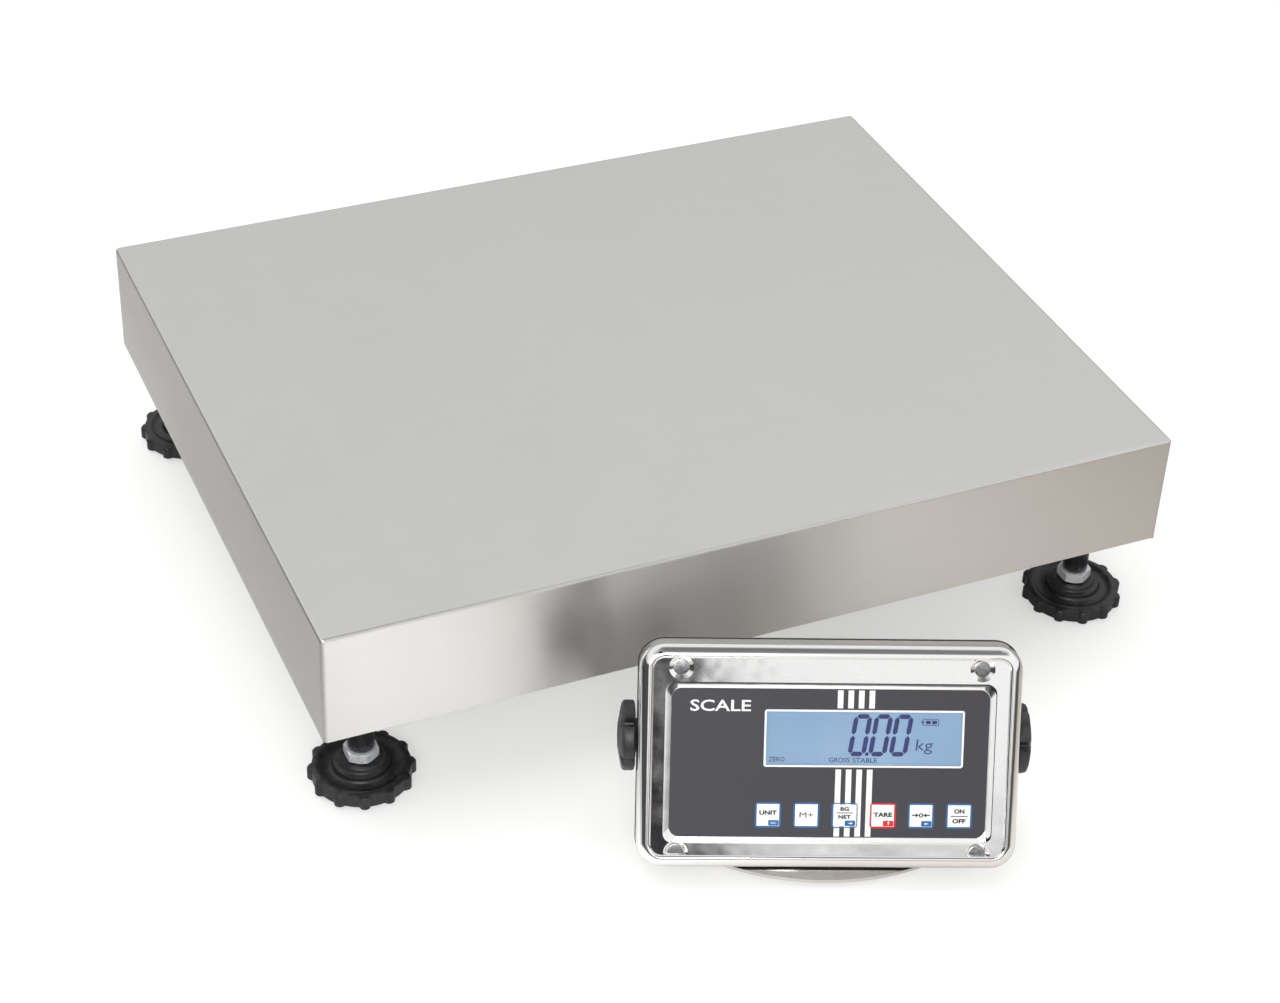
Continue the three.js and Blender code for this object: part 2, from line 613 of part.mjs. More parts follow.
function standBracket() {
  const bottom = STAND_FOOT_HEIGHT + GAP;
  const armWidth = 2 * ARM_TOP_RADIUS;
  const profile = new THREE.Shape();
  const outer = ARM_FACE - BEND_RADIUS;
  const inner = BEND_RADIUS - ARM_SHEET;
  const top = pivotHeight + ARM_TOP_RADIUS;
  profile.moveTo(-ARM_FACE, top);
  profile.absarc(-outer, bottom + BEND_RADIUS, BEND_RADIUS, Math.PI, 1.5 * Math.PI, false);
  profile.absarc(outer, bottom + BEND_RADIUS, BEND_RADIUS, 1.5 * Math.PI, 2 * Math.PI, false);
  profile.lineTo(ARM_FACE, top);
  profile.lineTo(ARM_FACE - ARM_SHEET, top);
  profile.absarc(outer, bottom + BEND_RADIUS, inner, 0, -Math.PI / 2, true);
  profile.absarc(-outer, bottom + BEND_RADIUS, inner, -Math.PI / 2, -Math.PI, true);
  profile.lineTo(-ARM_FACE + ARM_SHEET, top);
  const strip = new THREE.ExtrudeGeometry(profile, {
    depth: armWidth, bevelEnabled: false, curveSegments: 4,
  });
  strip.rotateX(Math.PI / 2);
  strip.translate(0, armWidth / 2, 0);
  const side = new THREE.Shape();
  side.moveTo(-ARM_TOP_RADIUS, -1);
  side.lineTo(ARM_TOP_RADIUS, -1);
  side.absarc(0, pivotHeight, ARM_TOP_RADIUS, 0, Math.PI, false);
  const sideCut = new THREE.ExtrudeGeometry(side, {
    depth: 2 * ARM_FACE + 2, bevelEnabled: false, curveSegments: 10,
  });
  sideCut.rotateX(Math.PI / 2);
  sideCut.rotateZ(Math.PI / 2);
  sideCut.translate(-ARM_FACE - 1, 0, 0);
  const plate = prism(baseOutline(), ARM_SHEET, 16).translate([0, 0, bottom]);
  let bracket = solid(strip).intersect(solid(sideCut)).add(plate);
  const screwHole = new THREE.CylinderGeometry(KNOB_SCREW + GAP, KNOB_SCREW + GAP, 2 * ARM_FACE + 10, 12)
    .rotateZ(Math.PI / 2).translate(0, 0, pivotHeight);
  return bracket.subtract(solid(screwHole));
}

const standFeet = [['front_left', -45, -33], ['front_right', 45, -33],
  ['rear_left', -80, 24], ['rear_right', 80, 24]];

function standFoot() {
  return turned([
    [0, 0], [STAND_FOOT_RADIUS - 0.8, 0], [STAND_FOOT_RADIUS, 0.8],
    [STAND_FOOT_RADIUS, STAND_FOOT_HEIGHT], [0, STAND_FOOT_HEIGHT],
  ], 16);
}

// ---- assembly ---------------------------------------------------------------------------
function platform() {
  const group = new THREE.Group();
  group.add(part('weighing_pan', weighingPan(), 'steel'));
  group.add(part('base_rail_left', baseRail(-1), 'steel'));
  group.add(part('base_rail_right', baseRail(1), 'steel'));
  group.add(part('base_cross_beam', crossBeam(), 'steel'));
  group.add(part('load_cell_lower_spacer', spacer(-1, beamTop + GAP, LOWER_SPACER), 'zinc'));
  group.add(part('load_cell', loadCell(), 'aluminium'));
  group.add(part('load_cell_upper_spacer', spacer(1, cellTop + SPRING_TRAVEL, UPPER_SPACER), 'zinc'));
  group.add(part('carrier_beam', carrierBeam(), 'steel'));
  for (const [name, side] of [['left', -1], ['right', 1]]) {
    const arm = tubeAlongY(ARM_WIDTH, ARM_HEIGHT, ARM_LENGTH, side * ARM_OFFSET, carrierTop - ARM_HEIGHT);
    group.add(part(`carrier_arm_${name}`, arm, 'steel'));
  }
  for (const [corner, sideX, sideY] of cornersOfFour) {
    const buffer = rod(BUFFER_RADIUS, BUFFER_HEIGHT,
      [sideX * ARM_OFFSET, sideY * (ARM_LENGTH / 2 - BUFFER_INSET), carrierTop + GAP]);
    group.add(part(`pan_buffer_${corner}`, buffer, 'rubber'));
    group.add(levellingFoot(corner, sideX, sideY));
  }
  boltPlaces.forEach((place, order) => {
    const lower = capScrew(cellBottom + BOLT_GRIP - beamTop + TUBE_WALL + GAP);
    const fixed = part(`load_cell_bolt_fixed_${order + 1}`, lower, 'zinc');
    fixed.position.set(-place, 0, beamTop - TUBE_WALL - GAP - BOLT_HEAD_HEIGHT);
    group.add(fixed);
    const seat = carrierTop - BOLT_HEAD_HEIGHT - GAP;
    const upper = capScrew(seat - cellTop + BOLT_GRIP);
    const free = part(`load_cell_bolt_free_${order + 1}`, upper, 'zinc');
    free.rotation.x = Math.PI;
    free.position.set(place, 0, seat + BOLT_HEAD_HEIGHT);
    group.add(free);
  });
  const levelParts = [part('level_housing', levelHousing(), 'blackPlastic'),
    part('level_glass', levelGlass(), 'clear')];
  for (const piece of levelParts) {
    piece.position.set(footX, LEVEL_PLACE, railTop + GAP);
    group.add(piece);
  }
  const glandBody = gland(PLATFORM_GLAND_RADIUS, PLATFORM_GLAND_LENGTH);
  const outlet = part('platform_cable_gland', glandBody, 'blackPlastic');
  outlet.rotation.x = Math.PI / 2;
  outlet.position.set(GLAND_PLACE, -BEAM_WIDTH / 2, railBottom + BEAM_HEIGHT / 2);
  group.add(outlet);
  return group;
}

function head() {
  const group = new THREE.Group();
  group.add(part('front_shell', frontShell(), 'polished'));
  group.add(part('housing_gasket', housingGasket(), 'rubber'));
  group.add(part('rear_shell', rearShell(), 'polished'));
  group.add(part('keypad_overlay', keypadOverlay(), 'overlay'));
  KEY_NAMES.forEach((name, place) => {
    group.add(part(`key_${name}`, keyCap(place), 'keyFace'));
  });
  const glass = prism(roundedRectangle(WINDOW_WIDTH, WINDOW_HEIGHT, 1.2), 0.8)
    .translate([WINDOW_X, WINDOW_Y, landLevel - OVERLAY_SHEET]);
  group.add(part('display_window', glass, 'clear'));
  const halfWindow = [WINDOW_WIDTH / 2 + 2, WINDOW_HEIGHT / 2 + 2];
  group.add(part('lcd_module', block(
    [WINDOW_X - halfWindow[0], WINDOW_Y - halfWindow[1], -7],
    [WINDOW_X + halfWindow[0], WINDOW_Y + halfWindow[1], landLevel - OVERLAY_SHEET - 2 * GAP],
  ), 'lcd'));
  group.add(part('main_board', block([-72, -32, -11], [72, 32, -9.4]), 'board'));
  group.add(part('battery_pack', block([-55, -8, -36], [55, 30, -16]), 'battery'));
  for (const [name, side] of [['left', -1], ['right', 1]]) {
    const knob = part(`knob_${name}`, starKnob(), 'blackPlastic');
    knob.rotation.y = side * Math.PI / 2;
    knob.position.set(0, PIVOT_ABOVE_FACE, -FACE_TO_PIVOT);
    group.add(knob);
    const inlet = part(`inlet_gland_${name}`, gland(INLET_RADIUS, INLET_LENGTH), 'blackPlastic');
    inlet.rotation.y = Math.PI;
    inlet.position.set(side * INLET_SPREAD, INLET_Y, cupBack);
    group.add(inlet);
  }
  for (const piece of group.children) {
    piece.position.y -= PIVOT_ABOVE_FACE;
    piece.position.z += FACE_TO_PIVOT;
  }
  group.rotation.x = Math.PI / 2 - tilt;
  group.position.z = pivotHeight;
  return group;
}

function displayUnit() {
  const group = new THREE.Group();
  group.add(part('stand_bracket', standBracket(), 'polished'));
  for (const [corner, x, y] of standFeet) {
    const foot = part(`stand_foot_${corner}`, standFoot(), 'rubber');
    foot.position.set(x, y, 0);
    group.add(foot);
  }
  group.add(head());
  group.rotation.z = THREE.MathUtils.degToRad(STAND_YAW);
  group.position.set(STAND_X, STAND_Y, 0);
  return group;
}

// The whole scale stands with the middle of its footprint box at the origin.
const scale = new THREE.Group();
scale.add(platform(), displayUnit());
scale.updateMatrixWorld(true);
const span = new THREE.Box3().setFromObject(scale, true);
const middle = span.getCenter(new THREE.Vector3());
scale.position.set(-middle.x, -middle.y, -span.min.z);

const model = new THREE.Group();
model.add(scale);

export default model;
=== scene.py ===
"""Looks of a stainless animal weighing scale: a platform with a lift-off pan on four screw
feet, and a polished display unit that tilts in its stand. Pieces are modelled in
millimetres in the frame of their own sub-assembly and then settled into the model."""

import json
import math

import bpy
from mathutils import Matrix, Vector


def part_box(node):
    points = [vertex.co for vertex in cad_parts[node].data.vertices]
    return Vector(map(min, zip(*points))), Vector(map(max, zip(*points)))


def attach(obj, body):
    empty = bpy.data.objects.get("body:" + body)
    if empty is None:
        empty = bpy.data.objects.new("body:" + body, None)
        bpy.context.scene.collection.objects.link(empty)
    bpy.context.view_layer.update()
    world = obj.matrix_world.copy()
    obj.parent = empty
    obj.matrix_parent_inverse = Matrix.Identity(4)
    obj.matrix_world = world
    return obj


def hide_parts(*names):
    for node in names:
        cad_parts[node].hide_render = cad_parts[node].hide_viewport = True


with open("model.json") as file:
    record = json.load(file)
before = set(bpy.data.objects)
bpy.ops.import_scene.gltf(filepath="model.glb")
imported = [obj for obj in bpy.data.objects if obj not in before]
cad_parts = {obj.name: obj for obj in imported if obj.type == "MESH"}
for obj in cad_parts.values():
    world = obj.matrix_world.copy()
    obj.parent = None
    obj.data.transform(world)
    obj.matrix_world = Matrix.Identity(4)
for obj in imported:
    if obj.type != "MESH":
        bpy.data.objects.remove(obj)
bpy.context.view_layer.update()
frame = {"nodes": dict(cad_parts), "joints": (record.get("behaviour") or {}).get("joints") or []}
joints = {joint["name"]: joint for joint in frame["joints"]}

MM = 0.001
CORNERS = ("front_left", "front_right", "rear_left", "rear_right")
KEYS = ("unit", "memory", "net", "tare", "zero", "power")

# ---- pan ----
PAN_SHEET = 1.5
PAN_CORNER = 2.4
PAN_EDGE = 1.9
TUBES = {"base_rail_left": "base", "base_rail_right": "base",
         "carrier_arm_left": "carrier", "carrier_arm_right": "carrier"}
TUBE_HEIGHT = {"base": 28, "carrier": 30}
RAIL_UNDERSIDE = 59.5
GLAND_DEPTH = 4

# ---- levelling feet ----
FOOT_SIDES = 288
LOBES = 12
LOBE_REACH = {0: 2.3, 1: 2.27, 2: 2.12, 3: 1.8, 4: 1.2, 5: 0.15}
THREAD_PITCH = 1.5
WHEEL_RADIUS = 27

# ---- display unit, on the face plane ----
HEAD_WIDTH, HEAD_HEIGHT, HEAD_RISE, HEAD_CORNER = 196.5, 118, 3, 13
FACE_TO_PIVOT, PIVOT_ABOVE_FACE = 29, 6.9
COVER_DEPTH, COVER_SIDE = 14, 9
FLANGE_BACK = -17.5
LAND = -0.2
OVERLAY_TOP = -0.75
OVERLAY_WIDTH, OVERLAY_HEIGHT, OVERLAY_CORNER = 163, 78.2, 5
WINDOW_WIDTH, WINDOW_HEIGHT, WINDOW_X, WINDOW_Y = 102.6, 30.2, 17.4, 13.2
KEY_SIZE, KEY_PITCH, KEY_X, KEY_Y = 12, 19.74, -30.9, -27.4
KEY_TOP = -0.55
LCD_TOP = -1.8
INK = 0.06
DIGIT_SLANT = 0.15
KNOB_RADIUS = 16
KNOB_REACH = (18.35, 18.35, 18.4, 18.4, 18.45, 18.5, 18.5, 18.55, 18.55, 18.4, 16.6, 15.0, 14.6)

# ---- stand ----
ARM_FACE, ARM_SHEET, ARM_RADIUS, BEND_RADIUS = 96.4, 2, 11, 4
BASE_ARC, BASE_FRONT, BASE_REAR, BASE_LEVEL = 120, 52.5, 34, 2.8


# ---- Places ----
def placed(x_axis, y_axis, z_axis, origin):
    """A matrix that puts millimetre coordinates on these axes into the model."""
    turn = Matrix((x_axis, y_axis, z_axis)).transposed().to_4x4()
    return Matrix.Translation(origin) @ turn @ Matrix.Scale(MM, 4)


def in_mm(node):
    low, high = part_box(node)
    return [v / MM for v in low], [v / MM for v in high]


def middle_of(low, high):
    return [(a + b) / 2 for a, b in zip(low, high)]


PIVOT = Vector(joints["head_tilt"]["pos_m"])
RIGHTWARD = -Vector(joints["head_tilt"]["axis"]).normalized()
OUT_OF_FACE = -Vector(joints["key_press_unit"]["axis"]).normalized()
UP_FACE = OUT_OF_FACE.cross(RIGHTWARD)
UPWARD = Vector((0, 0, 1))
HEAD = placed(
    RIGHTWARD, UP_FACE, OUT_OF_FACE,
    PIVOT + (OUT_OF_FACE * FACE_TO_PIVOT - UP_FACE * PIVOT_ABOVE_FACE) * MM,
)
STAND = placed(
    RIGHTWARD, UPWARD.cross(RIGHTWARD), UPWARD, Vector((PIVOT.x, PIVOT.y, 0))
)
WORLD = Matrix.Scale(MM, 4)


def on_floor(node):
    """The frame of an upright piece, its origin on the floor under the node's middle."""
    x, y, _ = middle_of(*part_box(node))
    return Matrix.Translation((x, y, 0)) @ WORLD


def on_tilt_axis(way):
    """The frame of a piece on the tilt axis, its Z pointing away from the housing."""
    return (HEAD @ Matrix.Translation((0, PIVOT_ABOVE_FACE, -FACE_TO_PIVOT))
            @ Matrix.Rotation(way * math.pi / 2, 4, "Y"))


# ---- Modelling helpers ----
def only(piece):
    if bpy.context.object and bpy.context.object.mode != "OBJECT":
        bpy.ops.object.mode_set(mode="OBJECT")
    bpy.ops.object.select_all(action="DESELECT")
    piece.select_set(True)
    bpy.context.view_layer.objects.active = piece


def added(name):
    """The primitive that was just added, with its place in its mesh."""
    piece = bpy.context.object
    piece.name = name
    piece.data.name = name
    only(piece)
    bpy.ops.object.transform_apply(location=True, rotation=True, scale=True)
    return piece


def pick(piece, kind, wanted):
    """Edit mode, with the vertices, edges or faces selected for which wanted(...) is true:
    it is given a point, an edge's two points, or a face's centre and normal."""
    only(piece)
    bpy.ops.object.mode_set(mode="EDIT")
    bpy.ops.mesh.select_mode(type=kind)
    bpy.ops.mesh.select_all(action="DESELECT")
    bpy.ops.object.mode_set(mode="OBJECT")
    mesh = piece.data
    points = [vertex.co.copy() for vertex in mesh.vertices]
    if kind == "VERT":
        for vertex in mesh.vertices:
            vertex.select = wanted(points[vertex.index])
    elif kind == "EDGE":
        for edge in mesh.edges:
            edge.select = wanted(*(points[index] for index in edge.vertices))
    else:
        for face in mesh.polygons:
            face.select = wanted(face.center.copy(), face.normal.copy())
    bpy.ops.object.mode_set(mode="EDIT")


def always(*_):
    return True


def done():
    bpy.ops.object.mode_set(mode="OBJECT")


def outward(piece):
    """Merges doubles and turns every face outwards."""
    pick(piece, "FACE", always)
    bpy.ops.mesh.remove_doubles(threshold=1e-4)
    bpy.ops.mesh.normals_make_consistent(inside=False)
    done()


def rounded(piece, kind, wanted, width, segments):
    """Rounds the chosen edges or upright corners."""
    pick(piece, kind, wanted)
    bpy.ops.mesh.bevel(offset=width, segments=segments,
                       affect="EDGES" if kind == "EDGE" else "VERTICES")
    done()


def smooth(piece, degrees=35):
    only(piece)
    bpy.ops.object.shade_smooth_by_angle(angle=math.radians(degrees))


def grow(height, scale_x=1.0, scale_y=None, centre=(0, 0)):
    """Extrudes the selected cap along Z and resizes it about its centre."""
    bpy.ops.mesh.extrude_region_move(TRANSFORM_OT_translate={"value": (0, 0, height)})
    resize_cap(scale_x, scale_x if scale_y is None else scale_y, centre)


def resize_cap(scale_x, scale_y, centre=(0, 0)):
    if scale_x != 1.0 or scale_y != 1.0:
        bpy.ops.transform.resize(value=(scale_x, scale_y, 1), center_override=(*centre, 0))


def raised(piece, height):
    """Gives a flat piece its height."""
    pick(piece, "FACE", always)
    grow(height)
    done()
    outward(piece)


def turned(name, profile, sides=48, bored=False):
    """A turned piece: a disc raised through a profile of (radius, height) steps. A bored
    one has its two end discs removed and joined by a through hole."""
    (radius, height), *steps = profile
    bpy.ops.mesh.primitive_circle_add(
        vertices=sides, radius=radius, fill_type="NGON", location=(0, 0, height)
    )
    piece = added(name)
    pick(piece, "FACE", always)
    for wide, high in steps:
        grow(high - height, wide / radius)
        radius, height = wide, high
    done()
    if bored:
        pick(piece, "FACE", lambda centre, normal: centre.xy.length < 0.01)
        bpy.ops.mesh.delete(type="ONLY_FACE")
        bpy.ops.mesh.select_mode(type="EDGE")
        bpy.ops.mesh.select_all(action="DESELECT")
        bpy.ops.mesh.select_non_manifold()
        bpy.ops.mesh.bridge_edge_loops()
        done()
    outward(piece)
    return piece


def plate(name, width, height, corner, level, centre=(0, 0), segments=10):
    """A flat sheet with round corners, without thickness."""
    bpy.ops.mesh.primitive_plane_add(size=1, location=(*centre, level))
    bpy.context.object.scale = (width, height, 1)
    piece = added(name)
    if corner:
        rounded(piece, "VERT", always, corner, segments)
    return piece


def slab(name, width, height, corner, bottom, top, centre=(0, 0), segments=10):
    """A plate with thickness."""
    piece = plate(name, width, height, corner, bottom, centre, segments)
    raised(piece, top - bottom)
    return piece


def cuboid(name, low, high):
    size = [b - a for a, b in zip(low, high)]
    bpy.ops.mesh.primitive_cube_add(
        size=1, location=middle_of(low, high)
    )
    bpy.context.object.scale = size
    return added(name)


def bevelled(piece, width, segments=2, degrees=30):
    """Rounds every edge sharper than an angle."""
    bevel = piece.modifiers.new("edges", "BEVEL")
    bevel.width = width
    bevel.segments = segments
    bevel.limit_method = "ANGLE"
    bevel.angle_limit = math.radians(degrees)
    bevel.use_clamp_overlap = True
    only(piece)
    bpy.ops.object.modifier_apply(modifier=bevel.name)


def thick(piece, thickness, offset=-1):
    """Gives a sheet its thickness, on the side away from its normals."""
    wall = piece.modifiers.new("wall", "SOLIDIFY")
    wall.thickness = thickness
    wall.offset = offset
    wall.use_even_offset = True
    only(piece)
    bpy.ops.object.modifier_apply(modifier=wall.name)


def combine(piece, other, operation):
    """Joins a piece with another, cuts it or keeps what they share; the other goes."""
    step = piece.modifiers.new("shape", "BOOLEAN")
    step.operation = operation
    step.solver = "EXACT"
    step.object = other
    only(piece)
    bpy.ops.object.modifier_apply(modifier=step.name)
    bpy.data.objects.remove(other)


def cut(piece, other):
    combine(piece, other, "DIFFERENCE")


def copied(piece, name):
    twin = piece.copy()
    twin.data = piece.data.copy()
    twin.name = twin.data.name = name
    bpy.context.scene.collection.objects.link(twin)
    return twin


def turn(piece, degrees, axis, centre=(0, 0, 0)):
    """Turns a piece's mesh about a line."""
    spin = Matrix.Rotation(math.radians(degrees), 4, axis)
    there = Matrix.Translation(centre)
    piece.data.transform(there @ spin @ there.inverted())


def shift(piece, *by):
    piece.data.transform(Matrix.Translation(by))
    return piece


def softened(node, name, width, segments=2, degrees=40):
    """A copy of a CAD node with its flat faces joined up and its edges rounded."""
    source = frame["nodes"][node]
    piece = source.copy()
    piece.data = source.data.copy()
    piece.parent = None
    for key in list(piece.keys()):
        del piece[key]
    piece.name = piece.data.name = name
    piece.hide_render = piece.hide_viewport = False
    bpy.context.scene.collection.objects.link(piece)
    piece.data.transform(Matrix.Scale(1 / MM, 4))
    only(piece)
    if piece.data.has_custom_normals:
        bpy.ops.mesh.customdata_custom_splitnormals_clear()
    pick(piece, "FACE", always)
    bpy.ops.mesh.remove_doubles(threshold=1e-3)
    bpy.ops.mesh.dissolve_limited(angle_limit=math.radians(1))
    done()
    bevelled(piece, width, segments, degrees)
    smooth(piece)
    return piece


def settle(piece, place, body, material, stands_for=()):
    """Puts a finished piece into the model, on its body, in its finish."""
    piece.data.transform(place)
    if material is not None:
        piece.data.materials.clear()
        piece.data.materials.append(material)
    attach(piece, body)
    if stands_for:
        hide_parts(*stands_for)


# ---- Shared surface effects ----
def new_group(name, inputs, outputs):
    """A node group: its inputs with their defaults, vectors unless they are numbers,
    and its outputs, all numbers."""
    group = bpy.data.node_groups.new(name, "ShaderNodeTree")
    for label, default in inputs.items():
        kind = "NodeSocketFloat" if isinstance(default, float) else "NodeSocketVector"
        made = group.interface.new_socket(name=label, in_out="INPUT", socket_type=kind)
        if default is not None:
            made.default_value = default
    for label in outputs:
        group.interface.new_socket(name=label, in_out="OUTPUT", socket_type="NodeSocketFloat")
    return group, group.nodes.new("NodeGroupInput"), group.nodes.new("NodeGroupOutput")


class Wiring:
    """Short ways to add nodes and links to one node tree."""

    def __init__(self, tree):
        self.tree = tree

    def add(self, kind, **settings):
        node = self.tree.nodes.new(kind)
        for name, value in settings.items():
            setattr(node, name, value)
        return node

    def link(self, source, target):
        self.tree.links.new(source, target)

    def feed(self, target, value):
        """Sets a socket to a number, or links it to another socket."""
        if isinstance(value, bpy.types.NodeSocket):
            self.link(value, target)
        else:
            target.default_value = value

    def maths(self, operation, *values, clamp=False):
        node = self.add("ShaderNodeMath", operation=operation, use_clamp=clamp)
        for target, value in zip(node.inputs, values):
            self.feed(target, value)
        return node.outputs[0]

    def swing(self, value, amount, middle, clamp=False):
        """How far a value is from one half, scaled and added to a middle."""
        away = self.maths("SUBTRACT", value, 0.5)
        return self.maths("MULTIPLY_ADD", away, amount, middle, clamp=clamp)

    def scaled(self, vector, factors):
        node = self.add("ShaderNodeVectorMath", operation="MULTIPLY")
        self.feed(node.inputs[0], vector)
        self.feed(node.inputs[1], factors)
        return node.outputs[0]

    def noise(self, vector, scale, detail=2.0, roughness=0.5, distortion=0.0):
        node = self.add("ShaderNodeTexNoise")
        self.feed(node.inputs["Vector"], vector)
        self.feed(node.inputs["Scale"], scale)
        self.feed(node.inputs["Detail"], detail)
        self.feed(node.inputs["Roughness"], roughness)
        self.feed(node.inputs["Distortion"], distortion)
        return node.outputs["Fac"]

    def ranged(self, value, low, high, to_low=0.0, to_high=1.0, ease="LINEAR"):
        node = self.add("ShaderNodeMapRange", clamp=True, interpolation_type=ease)
        for target, given in zip(node.inputs, (value, low, high, to_low, to_high)):
            self.feed(target, given)
        return node.outputs[0]

    def mixed(self, factor, first, second):
        node = self.add("ShaderNodeMix", data_type="RGBA")
        self.feed(node.inputs[0], factor)
        self.feed(node.inputs[6], first)
        self.feed(node.inputs[7], second)
        return node.outputs[2]

    def bump(self, height, strength, distance, normal=None):
        node = self.add("ShaderNodeBump")
        self.feed(node.inputs["Strength"], strength)
        self.feed(node.inputs["Distance"], distance)
        self.feed(node.inputs["Height"], height)
        if normal is not None:
            self.link(normal, node.inputs["Normal"])
        return node.outputs["Normal"]

    def group(self, group, **values):
        node = self.add("ShaderNodeGroup", node_tree=group)
        for name, value in values.items():
            self.feed(node.inputs[name], value)
        return node.outputs

    def place(self, which="Object"):
        return self.add("ShaderNodeTexCoord").outputs[which]


def make_brushing():
    """Fine lines drawn out along one direction, and the slow change between strokes."""
    group, given, result = new_group(
        "brushing",
        {"Place": None, "Stretch": (4, 1, 1), "Lines": 900.0, "Patch Size": 6.0},
        ("Line", "Stroke", "Patch"),
    )
    w = Wiring(group)
    drawn = w.scaled(given.outputs["Place"], given.outputs["Stretch"])
    w.link(w.noise(drawn, given.outputs["Lines"], 3.0, 0.6), result.inputs["Line"])
    broad = w.maths("MULTIPLY", given.outputs["Lines"], 0.22)
    w.link(w.noise(drawn, broad, 2.0, 0.5), result.inputs["Stroke"])
    w.link(
        w.noise(given.outputs["Place"], given.outputs["Patch Size"], 2.0, 0.5, 0.4),
        result.inputs["Patch"],
    )
    return group


def make_edge_wear():
    """A mask that is bright where a surface turns a sharp corner, broken up by noise."""
    group, given, result = new_group(
        "edge_wear",
        {"Radius": 0.0006, "Break-up": 120.0}, ("Mask",)
    )
    w = Wiring(group)
    soft = w.add("ShaderNodeBevel", samples=4)
    w.link(given.outputs["Radius"], soft.inputs["Radius"])
    flat = w.add("ShaderNodeNewGeometry").outputs["Normal"]
    facing = w.add("ShaderNodeVectorMath", operation="DOT_PRODUCT")
    w.link(soft.outputs["Normal"], facing.inputs[0])
    w.link(flat, facing.inputs[1])
    edge = w.ranged(facing.outputs["Value"], 0.985, 0.86)
    noise = w.ranged(w.noise(w.place(), given.outputs["Break-up"], 3.0), 0.35, 0.62)
    w.link(w.maths("MULTIPLY", edge, noise), result.inputs["Mask"])
    return group


def make_grain():
    """The spark-eroded grain of a moulding, as a height and as a shade."""
    group, given, result = new_group(
        "moulded_grain",
        {"Size": 1500.0}, ("Height", "Shade")
    )
    w = Wiring(group)
    cells = w.add("ShaderNodeTexVoronoi", feature="SMOOTH_F1")
    w.link(w.place(), cells.inputs["Vector"])
    w.link(given.outputs["Size"], cells.inputs["Scale"])
    half = w.maths("MULTIPLY", given.outputs["Size"], 0.5)
    fine = w.noise(w.place(), half, 3.0, 0.6)
    w.link(
        w.maths("ADD", w.maths("MULTIPLY", cells.outputs["Distance"], 0.5), fine),
        result.inputs["Height"],
    )
    slow = w.maths("MULTIPLY", given.outputs["Size"], 0.03)
    w.link(w.noise(w.place(), slow, 3.0, 0.55), result.inputs["Shade"])
    return group


def make_smears():
    """Soft wiping marks, for roughness."""
    group, given, result = new_group(
        "smears",
        {"Size": 18.0}, ("Mask",)
    )
    w = Wiring(group)
    drawn = w.scaled(w.place(), (1.0, 0.45, 1.6))
    w.link(
        w.ranged(w.noise(drawn, given.outputs["Size"], 4.0, 0.6, 1.2), 0.35, 0.7),
        result.inputs["Mask"],
    )
    return group


def make_dust():
    """Fine dust that lies on faces that look up."""
    group, given, result = new_group(
        "dust",
        {"Size": 260.0}, ("Mask",)
    )
    w = Wiring(group)
    parts = w.add("ShaderNodeSeparateXYZ")
    w.link(w.add("ShaderNodeNewGeometry").outputs["Normal"], parts.inputs[0])
    up = w.ranged(parts.outputs["Z"], 0.3, 0.95)
    speck = w.ranged(w.noise(w.place(), given.outputs["Size"], 4.0, 0.65), 0.45, 0.75)
    w.link(w.maths("MULTIPLY", up, speck), result.inputs["Mask"])
    return group


BRUSHING = make_brushing()
EDGE_WEAR = make_edge_wear()
GRAIN = make_grain()
SMEARS = make_smears()
DUST = make_dust()


# ---- Finishes ----
def new_finish(name, **constants):
    """A material with one Principled shader, and the wiring of its node tree."""
    material = bpy.data.materials.new(name)
    material.use_nodes = True
    shader = material.node_tree.nodes["Principled BSDF"]
    for label, value in constants.items():
        shader.inputs[label.replace("_", " ")].default_value = value
    return material, Wiring(material.node_tree), shader.inputs


def steel(name, stretch, dark, light, rough, lines=900.0, map_name="Object",
          patch=6.0, streak=0.12, bump=0.02, wear=0.0006, anisotropic=0.0):
    """Brushed or satin sheet steel."""
    material, w, into = new_finish(name, Metallic=1.0, Anisotropic=anisotropic,
                                   Anisotropic_Rotation=0.25 if anisotropic else 0.0)
    if anisotropic:
        grain = w.add("ShaderNodeTangent", direction_type="UV_MAP")
        w.link(grain.outputs["Tangent"], into["Tangent"])
    brush = w.group(BRUSHING, Place=w.place(map_name), Stretch=stretch,
                    Lines=lines, **{"Patch Size": patch})
    smear = w.group(SMEARS, Size=9.0)["Mask"]
    tone = w.swing(brush["Line"], streak * 4, 0.5)
    tone = w.swing(brush["Stroke"], streak * 3, tone)
    tone = w.swing(brush["Patch"], 0.3, tone, clamp=True)
    worn = w.group(EDGE_WEAR, Radius=wear)["Mask"]
    colour = w.mixed(tone, (*dark, 1), (*light, 1))
    w.link(w.mixed(w.maths("MULTIPLY", worn, 0.5), colour, (0.93, 0.93, 0.92, 1)),
           into["Base Color"])
    low, high = rough
    shine = w.swing(brush["Line"], 0.25, low)
    shine = w.maths("MULTIPLY_ADD", brush["Patch"], (high - low) * 1.4, shine)
    w.link(w.maths("MULTIPLY_ADD", smear, 0.03, shine, clamp=True), into["Roughness"])
    w.link(w.bump(brush["Line"], bump * 10, 0.00002), into["Normal"])
    return material


